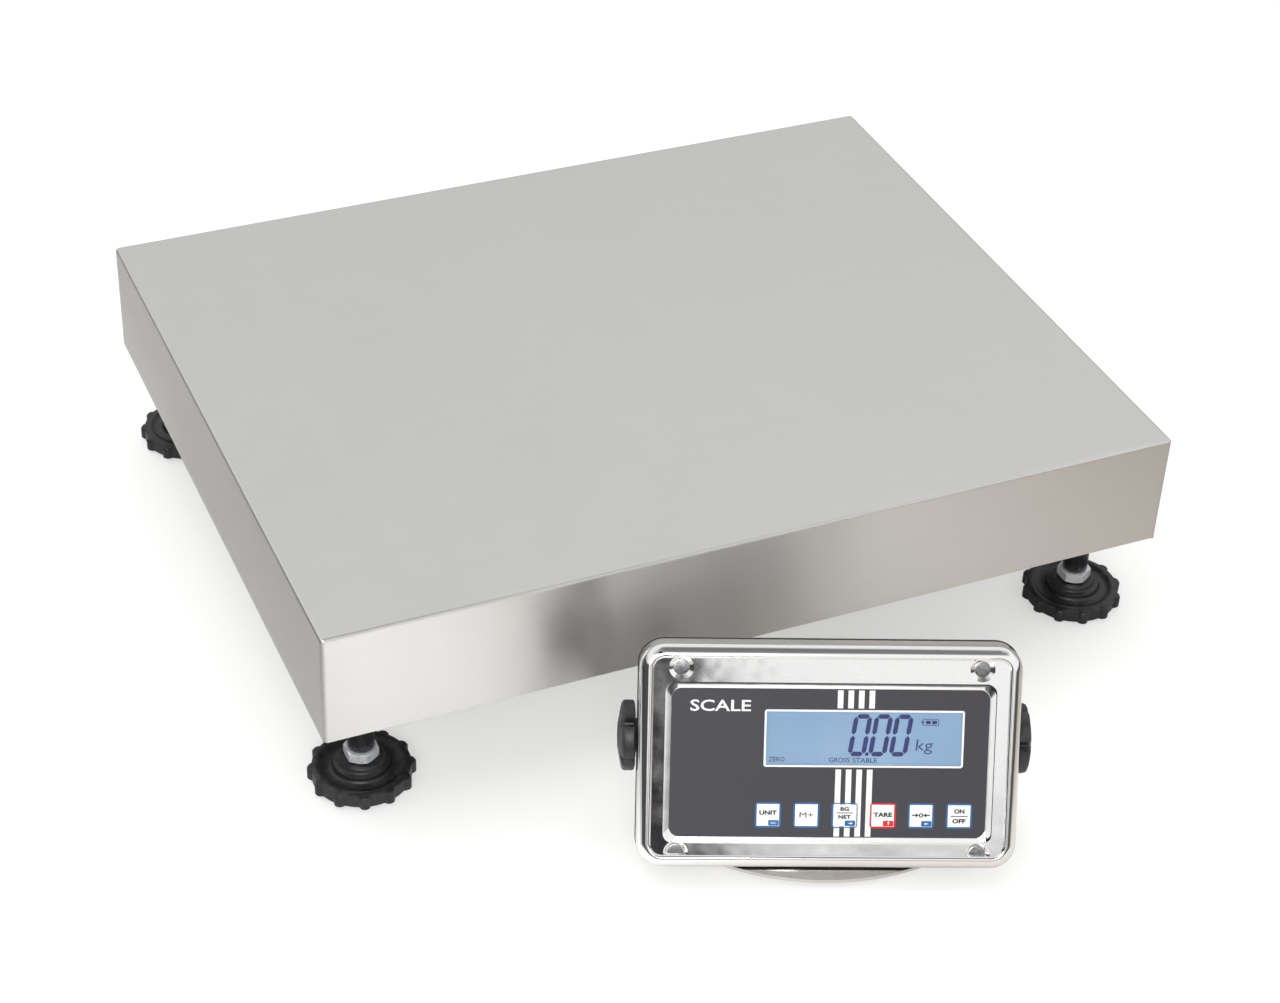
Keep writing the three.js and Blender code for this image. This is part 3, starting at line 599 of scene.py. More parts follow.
def mirror_steel():
    """Hand-polished steel: a bright mirror with faint polishing swirls."""
    material, w, into = new_finish("polished_steel", Metallic=1.0)
    smear = w.group(SMEARS, Size=26.0)["Mask"]
    swirl = w.noise(w.scaled(w.place(), (1.0, 1.0, 3.0)), 700.0, 3.0, 0.6, 0.6)
    wave = w.noise(w.place(), 38.0, 2.0, 0.5)
    worn = w.group(EDGE_WEAR, Radius=0.0004)["Mask"]
    tone = w.mixed(swirl, (0.74, 0.74, 0.735, 1), (0.88, 0.875, 0.87, 1))
    w.link(w.mixed(w.maths("MULTIPLY", worn, 0.4), tone, (0.95, 0.95, 0.95, 1)),
           into["Base Color"])
    shine = w.maths("MULTIPLY_ADD", smear, 0.05, 0.03)
    w.link(w.maths("MULTIPLY_ADD", swirl, 0.03, shine), into["Roughness"])
    height = w.maths("MULTIPLY_ADD", wave, 1.0, w.maths("MULTIPLY", swirl, 0.02))
    w.link(w.bump(height, 0.35, 0.0004), into["Normal"])
    return material


def plated(name, dark, light, rough, metallic=1.0):
    """Zinc-plated or machined metal: mottled, with turning marks."""
    material, w, into = new_finish(name, Metallic=metallic)
    mottle = w.noise(w.place(), 420.0, 4.0, 0.6)
    rings = w.noise(w.scaled(w.place(), (1.0, 1.0, 12.0)), 380.0, 2.0)
    worn = w.group(EDGE_WEAR, Radius=0.0003)["Mask"]
    tone = w.mixed(w.ranged(mottle, 0.3, 0.7), (*dark, 1), (*light, 1))
    w.link(w.mixed(w.maths("MULTIPLY", worn, 0.6), tone, (0.92, 0.93, 0.94, 1)),
           into["Base Color"])
    w.link(w.maths("MULTIPLY_ADD", rings, 0.2, rough - 0.1), into["Roughness"])
    w.link(w.bump(rings, 0.3, 0.00003), into["Normal"])
    return material


def moulded(name, colour, light, rough, grain=1500.0, bump=0.35, dusty=0.06, depth=0.00006):
    """Moulded plastic or rubber with its grain, paler edges and a little dust."""
    material, w, into = new_finish(name)
    skin = w.group(GRAIN, Size=grain)
    tone = w.mixed(w.ranged(skin["Shade"], 0.3, 0.7), (*colour, 1), (*light, 1))
    worn = w.group(EDGE_WEAR, Radius=0.0005)["Mask"]
    edge = tuple(min(1.0, value * 2.6 + 0.02) for value in light)
    tone = w.mixed(w.maths("MULTIPLY", worn, 0.55), tone, (*edge, 1))
    dust = w.group(DUST)["Mask"]
    w.link(w.mixed(w.maths("MULTIPLY", dust, dusty), tone, (0.55, 0.54, 0.52, 1)),
           into["Base Color"])
    shine = w.maths("MULTIPLY_ADD", skin["Shade"], 0.2, rough - 0.1)
    w.link(w.maths("MULTIPLY_ADD", dust, dusty * 3, shine, clamp=True), into["Roughness"])
    w.link(w.bump(skin["Height"], bump, depth), into["Normal"])
    return material


def printed(name, colour, rough=0.42, mottle=0.06, gloss=0.5):
    """Screen-printed ink or film: even, with a faint orange peel."""
    material, w, into = new_finish(name, Specular_IOR_Level=gloss)
    peel = w.noise(w.place(), 900.0, 2.0)
    slow = w.noise(w.place(), 30.0, 3.0)
    darker = tuple(value * (1 - mottle) for value in colour)
    w.link(w.mixed(slow, (*darker, 1), (*colour, 1)), into["Base Color"])
    w.link(w.maths("MULTIPLY_ADD", slow, 0.12, rough - 0.06), into["Roughness"])
    w.link(w.bump(peel, 0.12, 0.00003), into["Normal"])
    return material


def painted_glow_field():
    """The pale blue field of the liquid-crystal display, made to glow: painted light in place of
    the light that would reach it through the window.
    """
    material, w, into = new_finish("lcd_field", Roughness=0.25, Emission_Strength=0.55)
    field = w.noise(w.place(), 26.0, 3.0, 0.5)
    lines = w.noise(w.place(), 2600.0, 1.0)
    blend = w.swing(lines, 0.25, field, clamp=True)
    tone = w.mixed(w.ranged(blend, 0.3, 0.7), (0.172, 0.295, 0.45, 1), (0.215, 0.345, 0.485, 1))
    w.link(tone, into["Base Color"])
    w.link(tone, into["Emission Color"])
    return material


def clear(name, colour, weight=1.0, rough=0.03):
    material, w, into = new_finish(name, Transmission_Weight=weight, IOR=1.46)
    smear = w.group(SMEARS, Size=40.0)["Mask"]
    tone = w.mixed(smear, (*colour, 1), tuple(min(1, v * 1.02) for v in colour) + (1,))
    w.link(tone, into["Base Color"])
    w.link(w.maths("MULTIPLY_ADD", smear, 0.05, rough), into["Roughness"])
    return material


PAN_STEEL = steel("pan_brushed_steel", (0.02, 1, 1), (0.66, 0.655, 0.64), (0.77, 0.765, 0.75),
                  (0.31, 0.37), lines=1500.0, map_name="UV", patch=5.0, streak=0.07,
                  anisotropic=0.8)
TUBE_STEEL_Y = steel("satin_tube_steel_along", (1, 0.03, 1), (0.5, 0.5, 0.49),
                     (0.66, 0.66, 0.65), (0.3, 0.4))
TUBE_STEEL_X = steel("satin_tube_steel_across", (0.03, 1, 1), (0.5, 0.5, 0.49),
                     (0.66, 0.66, 0.65), (0.3, 0.4))
POLISHED = mirror_steel()
ZINC = plated("bright_zinc", (0.72, 0.74, 0.77), (0.9, 0.91, 0.93), 0.3, 0.5)
# Mid-dark steel for the discs in the cover's dimples: painted reflection.
STUD_REFLECTION_STEEL = plated("stud_steel_painted_reflection", (0.17, 0.17, 0.175), (0.36, 0.36, 0.37), 0.26)
BOSS_SHADE_STEEL = plated("boss_steel_painted_shade", (0.07, 0.07, 0.075), (0.16, 0.16, 0.17), 0.32)
# Very dark steel for the rails' bosses: painted shade under the pan.
ALUMINIUM = plated("machined_aluminium", (0.6, 0.61, 0.62), (0.75, 0.76, 0.77), 0.36)
BLACK = moulded("black_moulding", (0.009, 0.009, 0.010), (0.018, 0.018, 0.019), 0.36)
KNOB_BLACK = moulded("knob_moulding", (0.013, 0.013, 0.014), (0.024, 0.023, 0.024), 0.4)
RUBBER = moulded("black_rubber", (0.012, 0.012, 0.013), (0.022, 0.022, 0.023), 0.75,
                 grain=900.0, bump=0.5)
FILM = printed("keypad_film", (0.036, 0.034, 0.042), 0.5)
WHITE_INK = printed("white_ink", (0.87, 0.88, 0.88), 0.45, 0.03)
BLUE_INK = printed("blue_ink", (0.012, 0.13, 0.34))
RED_INK = printed("red_ink", (0.62, 0.008, 0.02))
DARK_INK = printed("dark_ink", (0.012, 0.012, 0.018), 0.5, gloss=0.2)
SEGMENT_INK = printed("display_segment", (0.001, 0.014, 0.2), 0.6, gloss=0.0)
# The display field glows: painted light.
FIELD = painted_glow_field()
WINDOW = clear("window_film", (0.97, 0.98, 1.0))
LEVEL_CLEAR = clear("level_lens", (0.98, 1.0, 0.97))
BOARD_GREEN = printed("board_lacquer", (0.02, 0.13, 0.055), 0.35, 0.25)
BATTERY_BLUE = printed("battery_sleeve", (0.02, 0.06, 0.2), 0.3, 0.2)
LIQUID = printed("level_liquid", (0.42, 0.75, 0.08), 0.15, 0.1)


# ---- Platform ----
def make_pan():
    """A shallow lid folded from one sheet, with its welded corners ground round."""
    low, high = in_mm("weighing_pan")
    top = high[2]
    pan = cuboid("pan_sheet", low, high)
    pick(pan, "FACE", lambda centre, normal: normal.z < -0.9)
    bpy.ops.mesh.delete(type="ONLY_FACE")
    done()
    rounded(pan, "EDGE", lambda a, b: abs(a.z - b.z) > 1, PAN_CORNER, 6)
    rounded(pan, "EDGE", lambda a, b: min(a.z, b.z) > top - 0.01, PAN_EDGE, 6)
    thick(pan, PAN_SHEET)
    rounded(pan, "EDGE", lambda a, b: max(a.z, b.z) < low[2] + 0.01, 0.25, 1)
    # A flat rim round the large faces keeps the shading of the rounded edges off them.
    only(pan)
    for face in pan.data.polygons:
        face.select = face.area > 5000
    bpy.ops.object.mode_set(mode="EDIT")
    bpy.ops.mesh.select_mode(type="FACE")
    bpy.ops.mesh.inset(thickness=0.4, depth=0, use_individual=True)
    done()
    smooth(pan, 40)
    pick(pan, "FACE", always)
    bpy.ops.uv.cube_project(cube_size=1000, scale_to_bounds=False, correct_aspect=False)
    done()
    settle(pan, WORLD, "pan", PAN_STEEL, ["weighing_pan"])


def make_frame():
    """The tubes, plates and spacers under the pan, their edges rounded."""
    for node, body in TUBES.items():
        name = node.replace("base_rail", "rail").replace("carrier_arm", "arm") + "_tube"
        tube = softened(node, name, 1.1, 2, 50)
        settle(tube, WORLD, body, TUBE_STEEL_Y, [node])
        # The boss faces below the rail underside are painted very dark: painted shade under the pan
        # on the rails' own steel.
        tube.data.materials.append(BOSS_SHADE_STEEL)
        for face in tube.data.polygons:
            if body == "base" and face.center.z < RAIL_UNDERSIDE * MM:
                face.material_index = 1
    for node, body, width in (("base_cross_beam", "base", 1.0), ("carrier_beam", "carrier", 0.7)):
        beam = softened(node, node + "_tube", width, 2, 50)
        settle(beam, WORLD, body, TUBE_STEEL_X, [node])
    cell = softened("load_cell", "load_cell_bar", 0.6, 2, 50)
    settle(cell, WORLD, "base", ALUMINIUM, ["load_cell"])
    for node, body in (("load_cell_lower_spacer", "base"), ("load_cell_upper_spacer", "carrier")):
        spacer = softened(node, node + "_plate", 0.3, 1, 50)
        settle(spacer, WORLD, body, ZINC, [node])


def make_end_caps():
    """Moulded plugs in the open ends of the tubes."""
    for node, body in TUBES.items():
        low, high = in_mm(node)
        width = high[0] - low[0]
        bottom = high[2] - TUBE_HEIGHT[body]
        middle = ((low[0] + high[0]) / 2, (bottom + high[2]) / 2)
        for end, place in (("front", low[1]), ("rear", high[1])):
            away = -1 if end == "front" else 1
            cap = slab(f"{node}_{end}_cap", width - 1, high[2] - bottom - 1, 1.6, 0, 1.6)
            pick(cap, "FACE", lambda centre, normal: normal.z > 0.9)
            bpy.ops.mesh.inset(thickness=5)
            bpy.ops.transform.translate(value=(0, 0, -0.6))
            done()
            core = slab("core", width - 5.4, high[2] - bottom - 5.4, 1, -14, 0.5)
            combine(cap, core, "UNION")
            bevelled(cap, 0.35, 2)
            smooth(cap)
            turn(cap, -90 * away, "X")
            shift(cap, middle[0], place, middle[1])
            settle(cap, WORLD, body, BLACK)


def make_buffers():
    for corner in CORNERS:
        low, high = in_mm("pan_buffer_" + corner)
        height = high[2] - low[2]
        puck = turned("buffer_" + corner, [(9.6, 0), (10.7, 0.25), (11, height * 0.5),
                      (10.7, height - 0.25), (9.8, height), (4, height), (3.4, height - 0.5)])
        smooth(puck)
        middle = middle_of(low, high)
        shift(puck, middle[0], middle[1], low[2])
        settle(puck, WORLD, "carrier", RUBBER, ["pan_buffer_" + corner])


def make_cap_screws():
    """Socket-head screws with a knurled head and a hexagon recess."""
    for node in ("load_cell_bolt_fixed_1", "load_cell_bolt_fixed_2",
                 "load_cell_bolt_free_1", "load_cell_bolt_free_2"):
        low, high = in_mm(node)
        length = high[2] - low[2]
        threads = []
        for step in range(int((length - 6) / 0.8)):
            threads.append((3.95 if step % 2 else 3.55, 5.4 + step * 0.8))
        screw = turned(node.replace("load_cell_bolt", "cap_screw"),
                       [(5.9, 0), (6.5, 0.5), (6.5, 4.6), (6.1, 5), (4, 5), *threads,
                        (3.2, length)], 48)
        pick(screw, "VERT", lambda p: 6.3 < p.xy.length and
             round(math.degrees(math.atan2(p.y, p.x)) / 7.5) % 2 == 0)
        resize_cap(0.975, 0.975)
        done()
        bpy.ops.mesh.primitive_cylinder_add(vertices=6, radius=3.2, depth=6, location=(0, 0, 0))
        cut(screw, added("socket"))
        smooth(screw)
        upside = "free" in node
        if upside:
            turn(screw, 180, "X")
        middle = middle_of(low, high)
        shift(screw, middle[0], middle[1], high[2] if upside else low[2])
        settle(screw, WORLD, "carrier" if upside else "base", ZINC, [node])


def make_level():
    """A round spirit level: black cup, green liquid, bubble and domed lens."""
    low, high = in_mm("level_housing")
    x, y, _ = middle_of(low, high)
    place = WORLD @ Matrix.Translation((x, y, low[2]))
    cup = turned("level_cup", [(8.6, 0), (9, 0.4), (9, 4.9), (8.3, 5.8), (7.4, 6), (7, 5.7),
                               (7, 2), (1, 2)], 64)
    smooth(cup)
    settle(cup, place, "base", BLACK, ["level_housing"])
    liquid = turned("level_liquid", [(6.7, 2.1), (6.7, 4.4), (5, 4.6), (1, 4.7)], 48)
    smooth(liquid)
    settle(liquid, place, "base", LIQUID)
    bubble = turned("level_bubble", [(1.6, 4.72), (2.4, 4.9), (2.3, 5.1), (1.4, 5.25), (0.4, 5.3)])
    smooth(bubble)
    shift(bubble, 0.4, -0.3, 0)
    settle(bubble, place, "base", WHITE_INK)
    lens = turned("level_lens", [(6.7, 5.35), (6.7, 5.6), (5, 5.95), (2.5, 6.15), (0.5, 6.2)], 48)
    smooth(lens)
    settle(lens, place, "base", LEVEL_CLEAR, ["level_glass"])


def make_gland(name, radius, length, place, body, node):
    """A cable gland: hexagon flange, ribbed dome nut and a sealed bore."""
    dome = radius - 1.2
    nut = turned(name, [
        (5.7, -3.6), (6, -3.2), (6, 0.3), (radius * 0.86, 0.3), (radius * 0.86, 5.2),
        (dome - 0.7, 5.4), (dome - 0.7, 6), (dome, 6.4), (dome, length * 0.68),
        (dome - 0.5, length * 0.76),
        (dome - 1.3, length * 0.9), (radius - 3.4, length - 0.3), (radius - 3.9, length),
        (3.4, length), (3.1, length - 1.2), (2.6, length - 1.6), (2.3, length - 1.8)], 60)
    pick(nut, "VERT", lambda p: dome - 0.1 < p.xy.length and p.z > 6 and
         round(math.degrees(math.atan2(p.y, p.x)) / 6) % 3 == 0)
    resize_cap(0.94, 0.94)
    done()
    bpy.ops.mesh.primitive_cylinder_add(vertices=6, radius=radius, depth=4, location=(0, 0, 2.3))
    flange = added("flange")
    combine(flange, turned("round", [(radius * 0.88, 0.3), (radius, 1), (radius, 3.6),
                                     (radius * 0.88, 4.3)]), "INTERSECT")
    combine(nut, flange, "UNION")
    smooth(nut)
    settle(nut, place, body, BLACK, [node])


# ---- Levelling feet ----
def phase(point, sides, count):
    """How many sides a point of a turned piece is from the middle of its nearest lobe."""
    step = round(math.atan2(point.y, point.x) / math.tau * sides)
    period = sides // count
    return min(step % period, -step % period)


def make_wheel():
    wheel = turned("wheel", [
        (5.3, 3.9), (20.6, 3.9), (20.6, 1.7), (21.2, 1), (26, 1), (27, 1.9), (27, 8.1),
        (26.7, 9.1), (25.7, 9.8), (24.6, 10), (23.3, 9.9), (22.3, 9.4), (21.5, 8.6), (20, 8.05),
        (18, 7.95), (16.6, 8.3), (15.7, 9.1), (15.3, 10.4), (15.1, 11.5), (14.5, 12),
        (13.4, 12.1), (12.8, 12.5), (12.5, 13.2), (12.4, 14.7), (11.9, 15.3), (11.2, 15.4),
        (9.9, 15.4), (9.6, 15.1), (5.3, 15.1)], FOOT_SIDES, bored=True)
    for step, reach in LOBE_REACH.items():
        for low, high, share in ((0.9, 1.1, 0.9), (1.8, 8.2, 1.0), (9, 9.2, 0.8)):
            pick(wheel, "VERT", lambda p: p.xy.length > 25.9 and low < p.z < high
                 and phase(p, FOOT_SIDES, LOBES) == step)
            size = 1 + reach * share / WHEEL_RADIUS
            resize_cap(size, size)
            done()
    turn(wheel, 180 / LOBES, "Z")
    smooth(wheel, 38)
    return wheel


def make_stud():
    profile = [(4.1, 4.3)]
    height = 4.8
    while height < 47.8:
        profile += [(4.95, height), (4.95, height + 0.2), (4.3, height + 0.75),
                    (4.3, height + 0.9)]
        height += THREAD_PITCH
    stud = turned("stud", [*profile, (4.3, 48.2), (3.6, 48.9)], 32)
    smooth(stud, 25)
    return stud


def hexagon_nut(name, flats, bottom, top, bore):
    across = flats / math.sqrt(3)
    bpy.ops.mesh.primitive_cylinder_add(
        vertices=6, radius=across, depth=top - bottom, location=(0, 0, (top + bottom) / 2)
    )
    nut = added(name)
    combine(nut, turned("chamfer", [(across * 0.86, bottom), (across, bottom + 0.8),
                                    (across, top - 0.8), (across * 0.86, top)], 72), "INTERSECT")
    cut(nut, turned("bore", [(bore + 0.6, bottom - 0.1), (bore, bottom + 0.6),
                             (bore, top - 0.6), (bore + 0.6, top + 0.1)], 36))
    smooth(nut, 25)
    return nut


def make_pad():
    pad = turned("pad", [(12, 0.6), (12.6, 0), (18.4, 0), (19.4, 0.4), (20, 1.3), (20, 3.2),
                         (19.6, 3.55), (4, 3.55)], 72)
    smooth(pad)
    return pad


def make_feet():
    wheel, stud, pad = make_wheel(), make_stud(), make_pad()
    nut = hexagon_nut("nut", 17, 16, 22, 5.3)
    for corner in CORNERS:
        place = on_floor("foot_pad_" + corner)
        for model, what, body, material, slot, node in (
            (wheel, "hand_wheel", "wheel", BLACK, "black_plastic", "foot_wheel"),
            (stud, "threaded_stud", "wheel", ZINC, "zinc_steel", "foot_stud"),
            (pad, "rubber_pad", "foot", RUBBER, "rubber", "foot_pad"),
            (nut, "hexagon_nut", "nut", ZINC, "zinc_steel", "lock_nut"),
        ):
            settle(copied(model, f"{what}_{corner}"), place, f"{body}_{corner}", material,
                   [f"{node}_{corner}"])
    for model in (wheel, stud, pad, nut):
        bpy.data.objects.remove(model)


# ---- Display unit ----
def inset_cap(thickness, rise):
    bpy.ops.mesh.inset(thickness=thickness, depth=0, use_even_offset=True)
    bpy.ops.transform.translate(value=(0, 0, rise))


def make_front_shell():
    """A deep-drawn cover: straight side, rounded border, flat land and a sunk pocket."""
    shell = plate("front_cover", HEAD_WIDTH, HEAD_HEIGHT, HEAD_CORNER, -COVER_DEPTH,
                  (0, HEAD_RISE), 14)
    pick(shell, "FACE", always)
    grow(COVER_SIDE)
    level = COVER_SIDE - COVER_DEPTH
    for inset, rise in ((0.15, 1.5), (0.5, 1.4), (0.9, 1.2), (1.15, 0.95), (1.2, 0.6),
                        (1.1, 0.28), (0.9, 0), (0.5, -0.18), (0.35, -0.35), (0.25, -0.4)):
        inset_cap(inset, rise)
        level += rise
    inset_cap(0.2, LAND - level)
    done()
    outward(shell)
    pick(shell, "FACE", lambda centre, normal: centre.z < 0.1 - COVER_DEPTH)
    bpy.ops.mesh.delete(type="ONLY_FACE")
    done()
    thick(shell, 2.4)
    pocket = plate("pocket", OVERLAY_WIDTH + 0.4, OVERLAY_HEIGHT + 0.4, OVERLAY_CORNER, -1.25)
    pick(pocket, "FACE", always)
    grow(0.45)
    wide, tall = OVERLAY_WIDTH + 0.4, OVERLAY_HEIGHT + 0.4
    for rise, spread in ((0.1, 0.3), (0.35, 1.9), (0.1, 0.5), (0.04, 0.5), (2, 0)):
        grow(rise, (wide + 2 * spread) / wide, (tall + 2 * spread) / tall)
        wide, tall = wide + 2 * spread, tall + 2 * spread
    done()
    outward(pocket)
    cut(shell, pocket)
    cut(shell, slab("view", OVERLAY_WIDTH - 6, OVERLAY_HEIGHT - 6, 4, -20, 5))
    plugs = []
    for x, y in ((-77, 50), (77, 50), (-78, -47.7), (78, -47.7)):
        dimple = turned("dimple", [(4.0, -2.05), (4.3, -1.9), (5.9, LAND - 0.25),
                                   (6.4, LAND), (6.5, 3)], 48)
        shift(dimple, x, y, 0)
        pick(dimple, "FACE", always)
        bpy.ops.mesh.bisect(plane_co=(0, HEAD_RISE - HEAD_HEIGHT / 2 + 7.3, 0),
                            plane_no=(0, -1, 0), use_fill=True, clear_outer=True)
        done()
        cut(shell, dimple)
        side, end = "left" if x < 0 else "right", "top" if y > 0 else "bottom"
        # A stud disc at each dimple's bottom, in dark steel: painted reflection, the dark middle
        # that the dimples show.
        plug = turned(f"cover_stud_{side}_{end}",
                      [(4.3, -2.0), (4.25, -1.95), (4.0, -1.9), (3.6, -1.85), (0.4, -1.8)], 40)
        smooth(plug)
        shift(plug, x, y, 0)
        plugs.append(plug)
    smooth(shell, 40)
    settle(shell, HEAD, "head", POLISHED, ["front_shell"])
    for plug in plugs:
        settle(plug, HEAD, "head", STUD_REFLECTION_STEEL)


def ring(name, width, height, corner, level, centre, segments, border, thickness):
    """A flat frame: a plate whose middle is taken out."""
    piece = plate(name, width, height, corner, level, centre, segments)
    pick(piece, "FACE", always)
    bpy.ops.mesh.inset(thickness=border)
    done()
    pick(piece, "FACE", lambda middle, normal: (middle.xy - Vector(centre)).length < 1)
    bpy.ops.mesh.delete(type="FACE")
    done()
    thick(piece, thickness, 1)
    outward(piece)
    return piece


def make_gasket():
    gasket = ring("sealing_strip", HEAD_WIDTH + 0.6, HEAD_HEIGHT + 0.6, HEAD_CORNER + 0.3,
                  -15.7, (0, HEAD_RISE), 14, 6, 1.4)
    bevelled(gasket, 0.3, 2)
    smooth(gasket)
    settle(gasket, HEAD, "head", RUBBER, ["housing_gasket"])


def make_rear_shell():
    """The rear cover: a flat flange and a drafted cup, drawn from one sheet."""
    shell = plate("rear_cover", HEAD_WIDTH, HEAD_HEIGHT, HEAD_CORNER, 0, (0, -HEAD_RISE), 14)
    pick(shell, "FACE", always)
    inset_cap(6.4, 0)
    inset_cap(0.5, 0.35)
    inset_cap(0.4, 1.0)
    wide, tall = HEAD_WIDTH - 14.6, HEAD_HEIGHT - 14.6
    for rise, spread in ((7, 2.2), (7, 2.2), (5, 1.3), (1.6, 0.5), (1.3, 1.0), (0.9, 1.3),
                         (0.6, 1.5), (0.25, 1.6)):
        grow(rise, (wide - 2 * spread) / wide, (tall - 2 * spread) / tall, (0, -HEAD_RISE))
        wide, tall = wide - 2 * spread, tall - 2 * spread
    done()
    pick(shell, "FACE", always)
    bpy.ops.mesh.normals_make_consistent(inside=False)
    done()
    if max(shell.data.polygons, key=lambda face: face.center.z).normal.z < 0:
        pick(shell, "FACE", always)
        bpy.ops.mesh.flip_normals()
        done()
    thick(shell, 1.5)
    turn(shell, 180, "X")
    shift(shell, 0, 0, FLANGE_BACK)
    smooth(shell, 40)
    settle(shell, HEAD, "head", POLISHED, ["rear_shell"])
    for side, way in (("left", -1), ("right", 1)):
        boss = turned("tilt_boss_" + side, [(8.2, 76), (9, 76.6), (9, 93.2), (8.3, 93.9),
                                            (4, 94)], 60)
        smooth(boss)
        settle(boss, on_tilt_axis(way), "head", POLISHED)


def make_cover_screws():
    """Pan-head screws that hold the rear flange to the cover."""
    spots = [(x, y) for x in (-84, -28, 28, 84) for y in (-52.7, 58.7)]
    spots += [(x, y) for x in (-94.9, 94.9) for y in (-32, 40)]
    model = turned("screw_model", [(1.9, 0), (1.95, 0.5), (1.6, 0.95), (0.9, 1.15), (0.3, 1.2)], 24)
    cut(model, cuboid("slot", (-1.3, -0.25, 0.7), (1.3, 0.25, 2)))
    cut(model, cuboid("slot", (-0.25, -1.3, 0.7), (0.25, 1.3, 2)))
    turn(model, 180, "X")
    smooth(model)
    for count, (x, y) in enumerate(spots, 1):
        screw = copied(model, f"cover_screw_{count}")
        turn(screw, 37 * count, "Z")
        shift(screw, x, y, FLANGE_BACK)
        settle(screw, HEAD, "head", ZINC)
    bpy.data.objects.remove(model)


def make_keypad():
    film = slab("keypad_film", OVERLAY_WIDTH, OVERLAY_HEIGHT, OVERLAY_CORNER, -1.2, OVERLAY_TOP)
    cut(film, slab("view", WINDOW_WIDTH + 0.3, WINDOW_HEIGHT + 0.3, 1.3, -3, 3,
                   (WINDOW_X, WINDOW_Y)))
    for order in range(len(KEYS)):
        cut(film, slab("hole", KEY_SIZE + 0.3, KEY_SIZE + 0.3, 1.1, -3, 3,
                       (KEY_X + order * KEY_PITCH, KEY_Y), 4))
    smooth(film)
    settle(film, HEAD, "head", FILM, ["keypad_overlay"])
    for count, x in enumerate((4.6, 10.0, 15.4, 20.8), 1):
        for part, low, high in (("upper", 29.2, 38.6), ("lower", -38.6, -3.0)):
            bar = slab(f"pale_bar_{part}_{count}", 2.9, high - low, 0, OVERLAY_TOP,
                       OVERLAY_TOP + INK, (x, (low + high) / 2))
            settle(bar, HEAD, "head", WHITE_INK)


def lettering(name, words, size, place, level, width=None, heavy=0.0, lean=0.0):
    """Raised print, centred on a place; width stretches or narrows it."""
    bpy.ops.object.text_add(location=(0, 0, 0))
    text = bpy.context.object.data
    text.body = words
    text.size = size
    text.align_x = "CENTER"
    text.align_y = "CENTER"
    text.extrude = INK / 2
    text.offset = heavy
    text.resolution_u = 3
    bpy.ops.object.convert(target="MESH")
    piece = added(name)
    xs = [vertex.co.x for vertex in piece.data.vertices]
    ys = [vertex.co.y for vertex in piece.data.vertices]
    stretch = width / (max(xs) - min(xs)) if width else 1.0
    shift(piece, -(max(xs) + min(xs)) / 2, -(max(ys) + min(ys)) / 2, INK / 2)
    piece.data.transform(Matrix(((stretch, lean, 0, place[0]), (0, 1, 0, place[1]),
                                 (0, 0, 1, level), (0, 0, 0, 1))))
    return piece


def joined(name, pieces):
    only(pieces[0])
    for piece in pieces[1:]:
        piece.select_set(True)
    bpy.ops.object.join()
    pieces[0].name = pieces[0].data.name = name
    return pieces[0]


def rule(x, y, width, height, level):
    return slab("rule", width, height, 0, level, level + INK, (x, y))


def arrow(x, y, degrees, level, size=2.4):
    """A small printed arrow: a shaft and a three-cornered head."""
    bpy.ops.mesh.primitive_circle_add(vertices=3, radius=size * 0.42, fill_type="NGON",
                                      location=(0, 0, 0))
    tip = added("tip")
    turn(tip, -90, "Z")
    shift(tip, size * 0.35, 0, level)
    raised(tip, INK)
    mark = joined("arrow", [tip, rule(-size * 0.2, 0, size * 0.62, size * 0.2, level)])
    turn(mark, degrees, "Z")
    return shift(mark, x, y, 0)


def key_print(key, x):
    """What is printed on a key: its dark words, and the pale mark on its corner tab."""
    y, level = KEY_Y, KEY_TOP
    dark, pale = [], []
    if key == "unit":
        dark = [lettering("w", "UNIT", 3.0, (x, y + 1.3), level, 9.0, 0.12)]
        pale = [lettering("w", "ESC", 1.5, (x + 3.0, y - 4.1), level + INK, 3.0)]
    elif key == "memory":
        dark = [lettering("w", "M+", 3.8, (x, y + 0.2), level, 7.0)]
    elif key == "net":
        dark = [lettering("w", "BG", 2.7, (x, y + 3.5), level, 4.4, 0.1),
                lettering("w", "NET", 2.7, (x, y - 0.7), level, 6.4, 0.1),
                rule(x, y + 1.4, 8.4, 0.4, level)]
        pale = [arrow(x + 3.0, y - 4.1, 0, level + INK, 1.7)]
    elif key == "tare":
        dark = [lettering("w", "TARE", 3.0, (x, y + 0.6), level, 9.6, 0.12)]
        pale = [arrow(x + 3.0, y - 4.1, 90, level + INK, 1.7)]
    elif key == "zero":
        dark = [lettering("w", "0", 3.3, (x, y + 0.4), level, 2.2, 0.06),
                arrow(x - 3.2, y + 0.4, 0, level, 2.8), arrow(x + 3.2, y + 0.4, 180, level, 2.8)]
        pale = [arrow(x + 3.0, y - 4.1, 180, level + INK, 1.7)]
    else:
        dark = [lettering("w", "ON", 3.0, (x, y + 2.6), level, 5.4, 0.12),
                lettering("w", "OFF", 3.0, (x, y - 2.6), level, 6.8, 0.12),
                rule(x, y, 8.8, 0.4, level)]
    return dark, pale


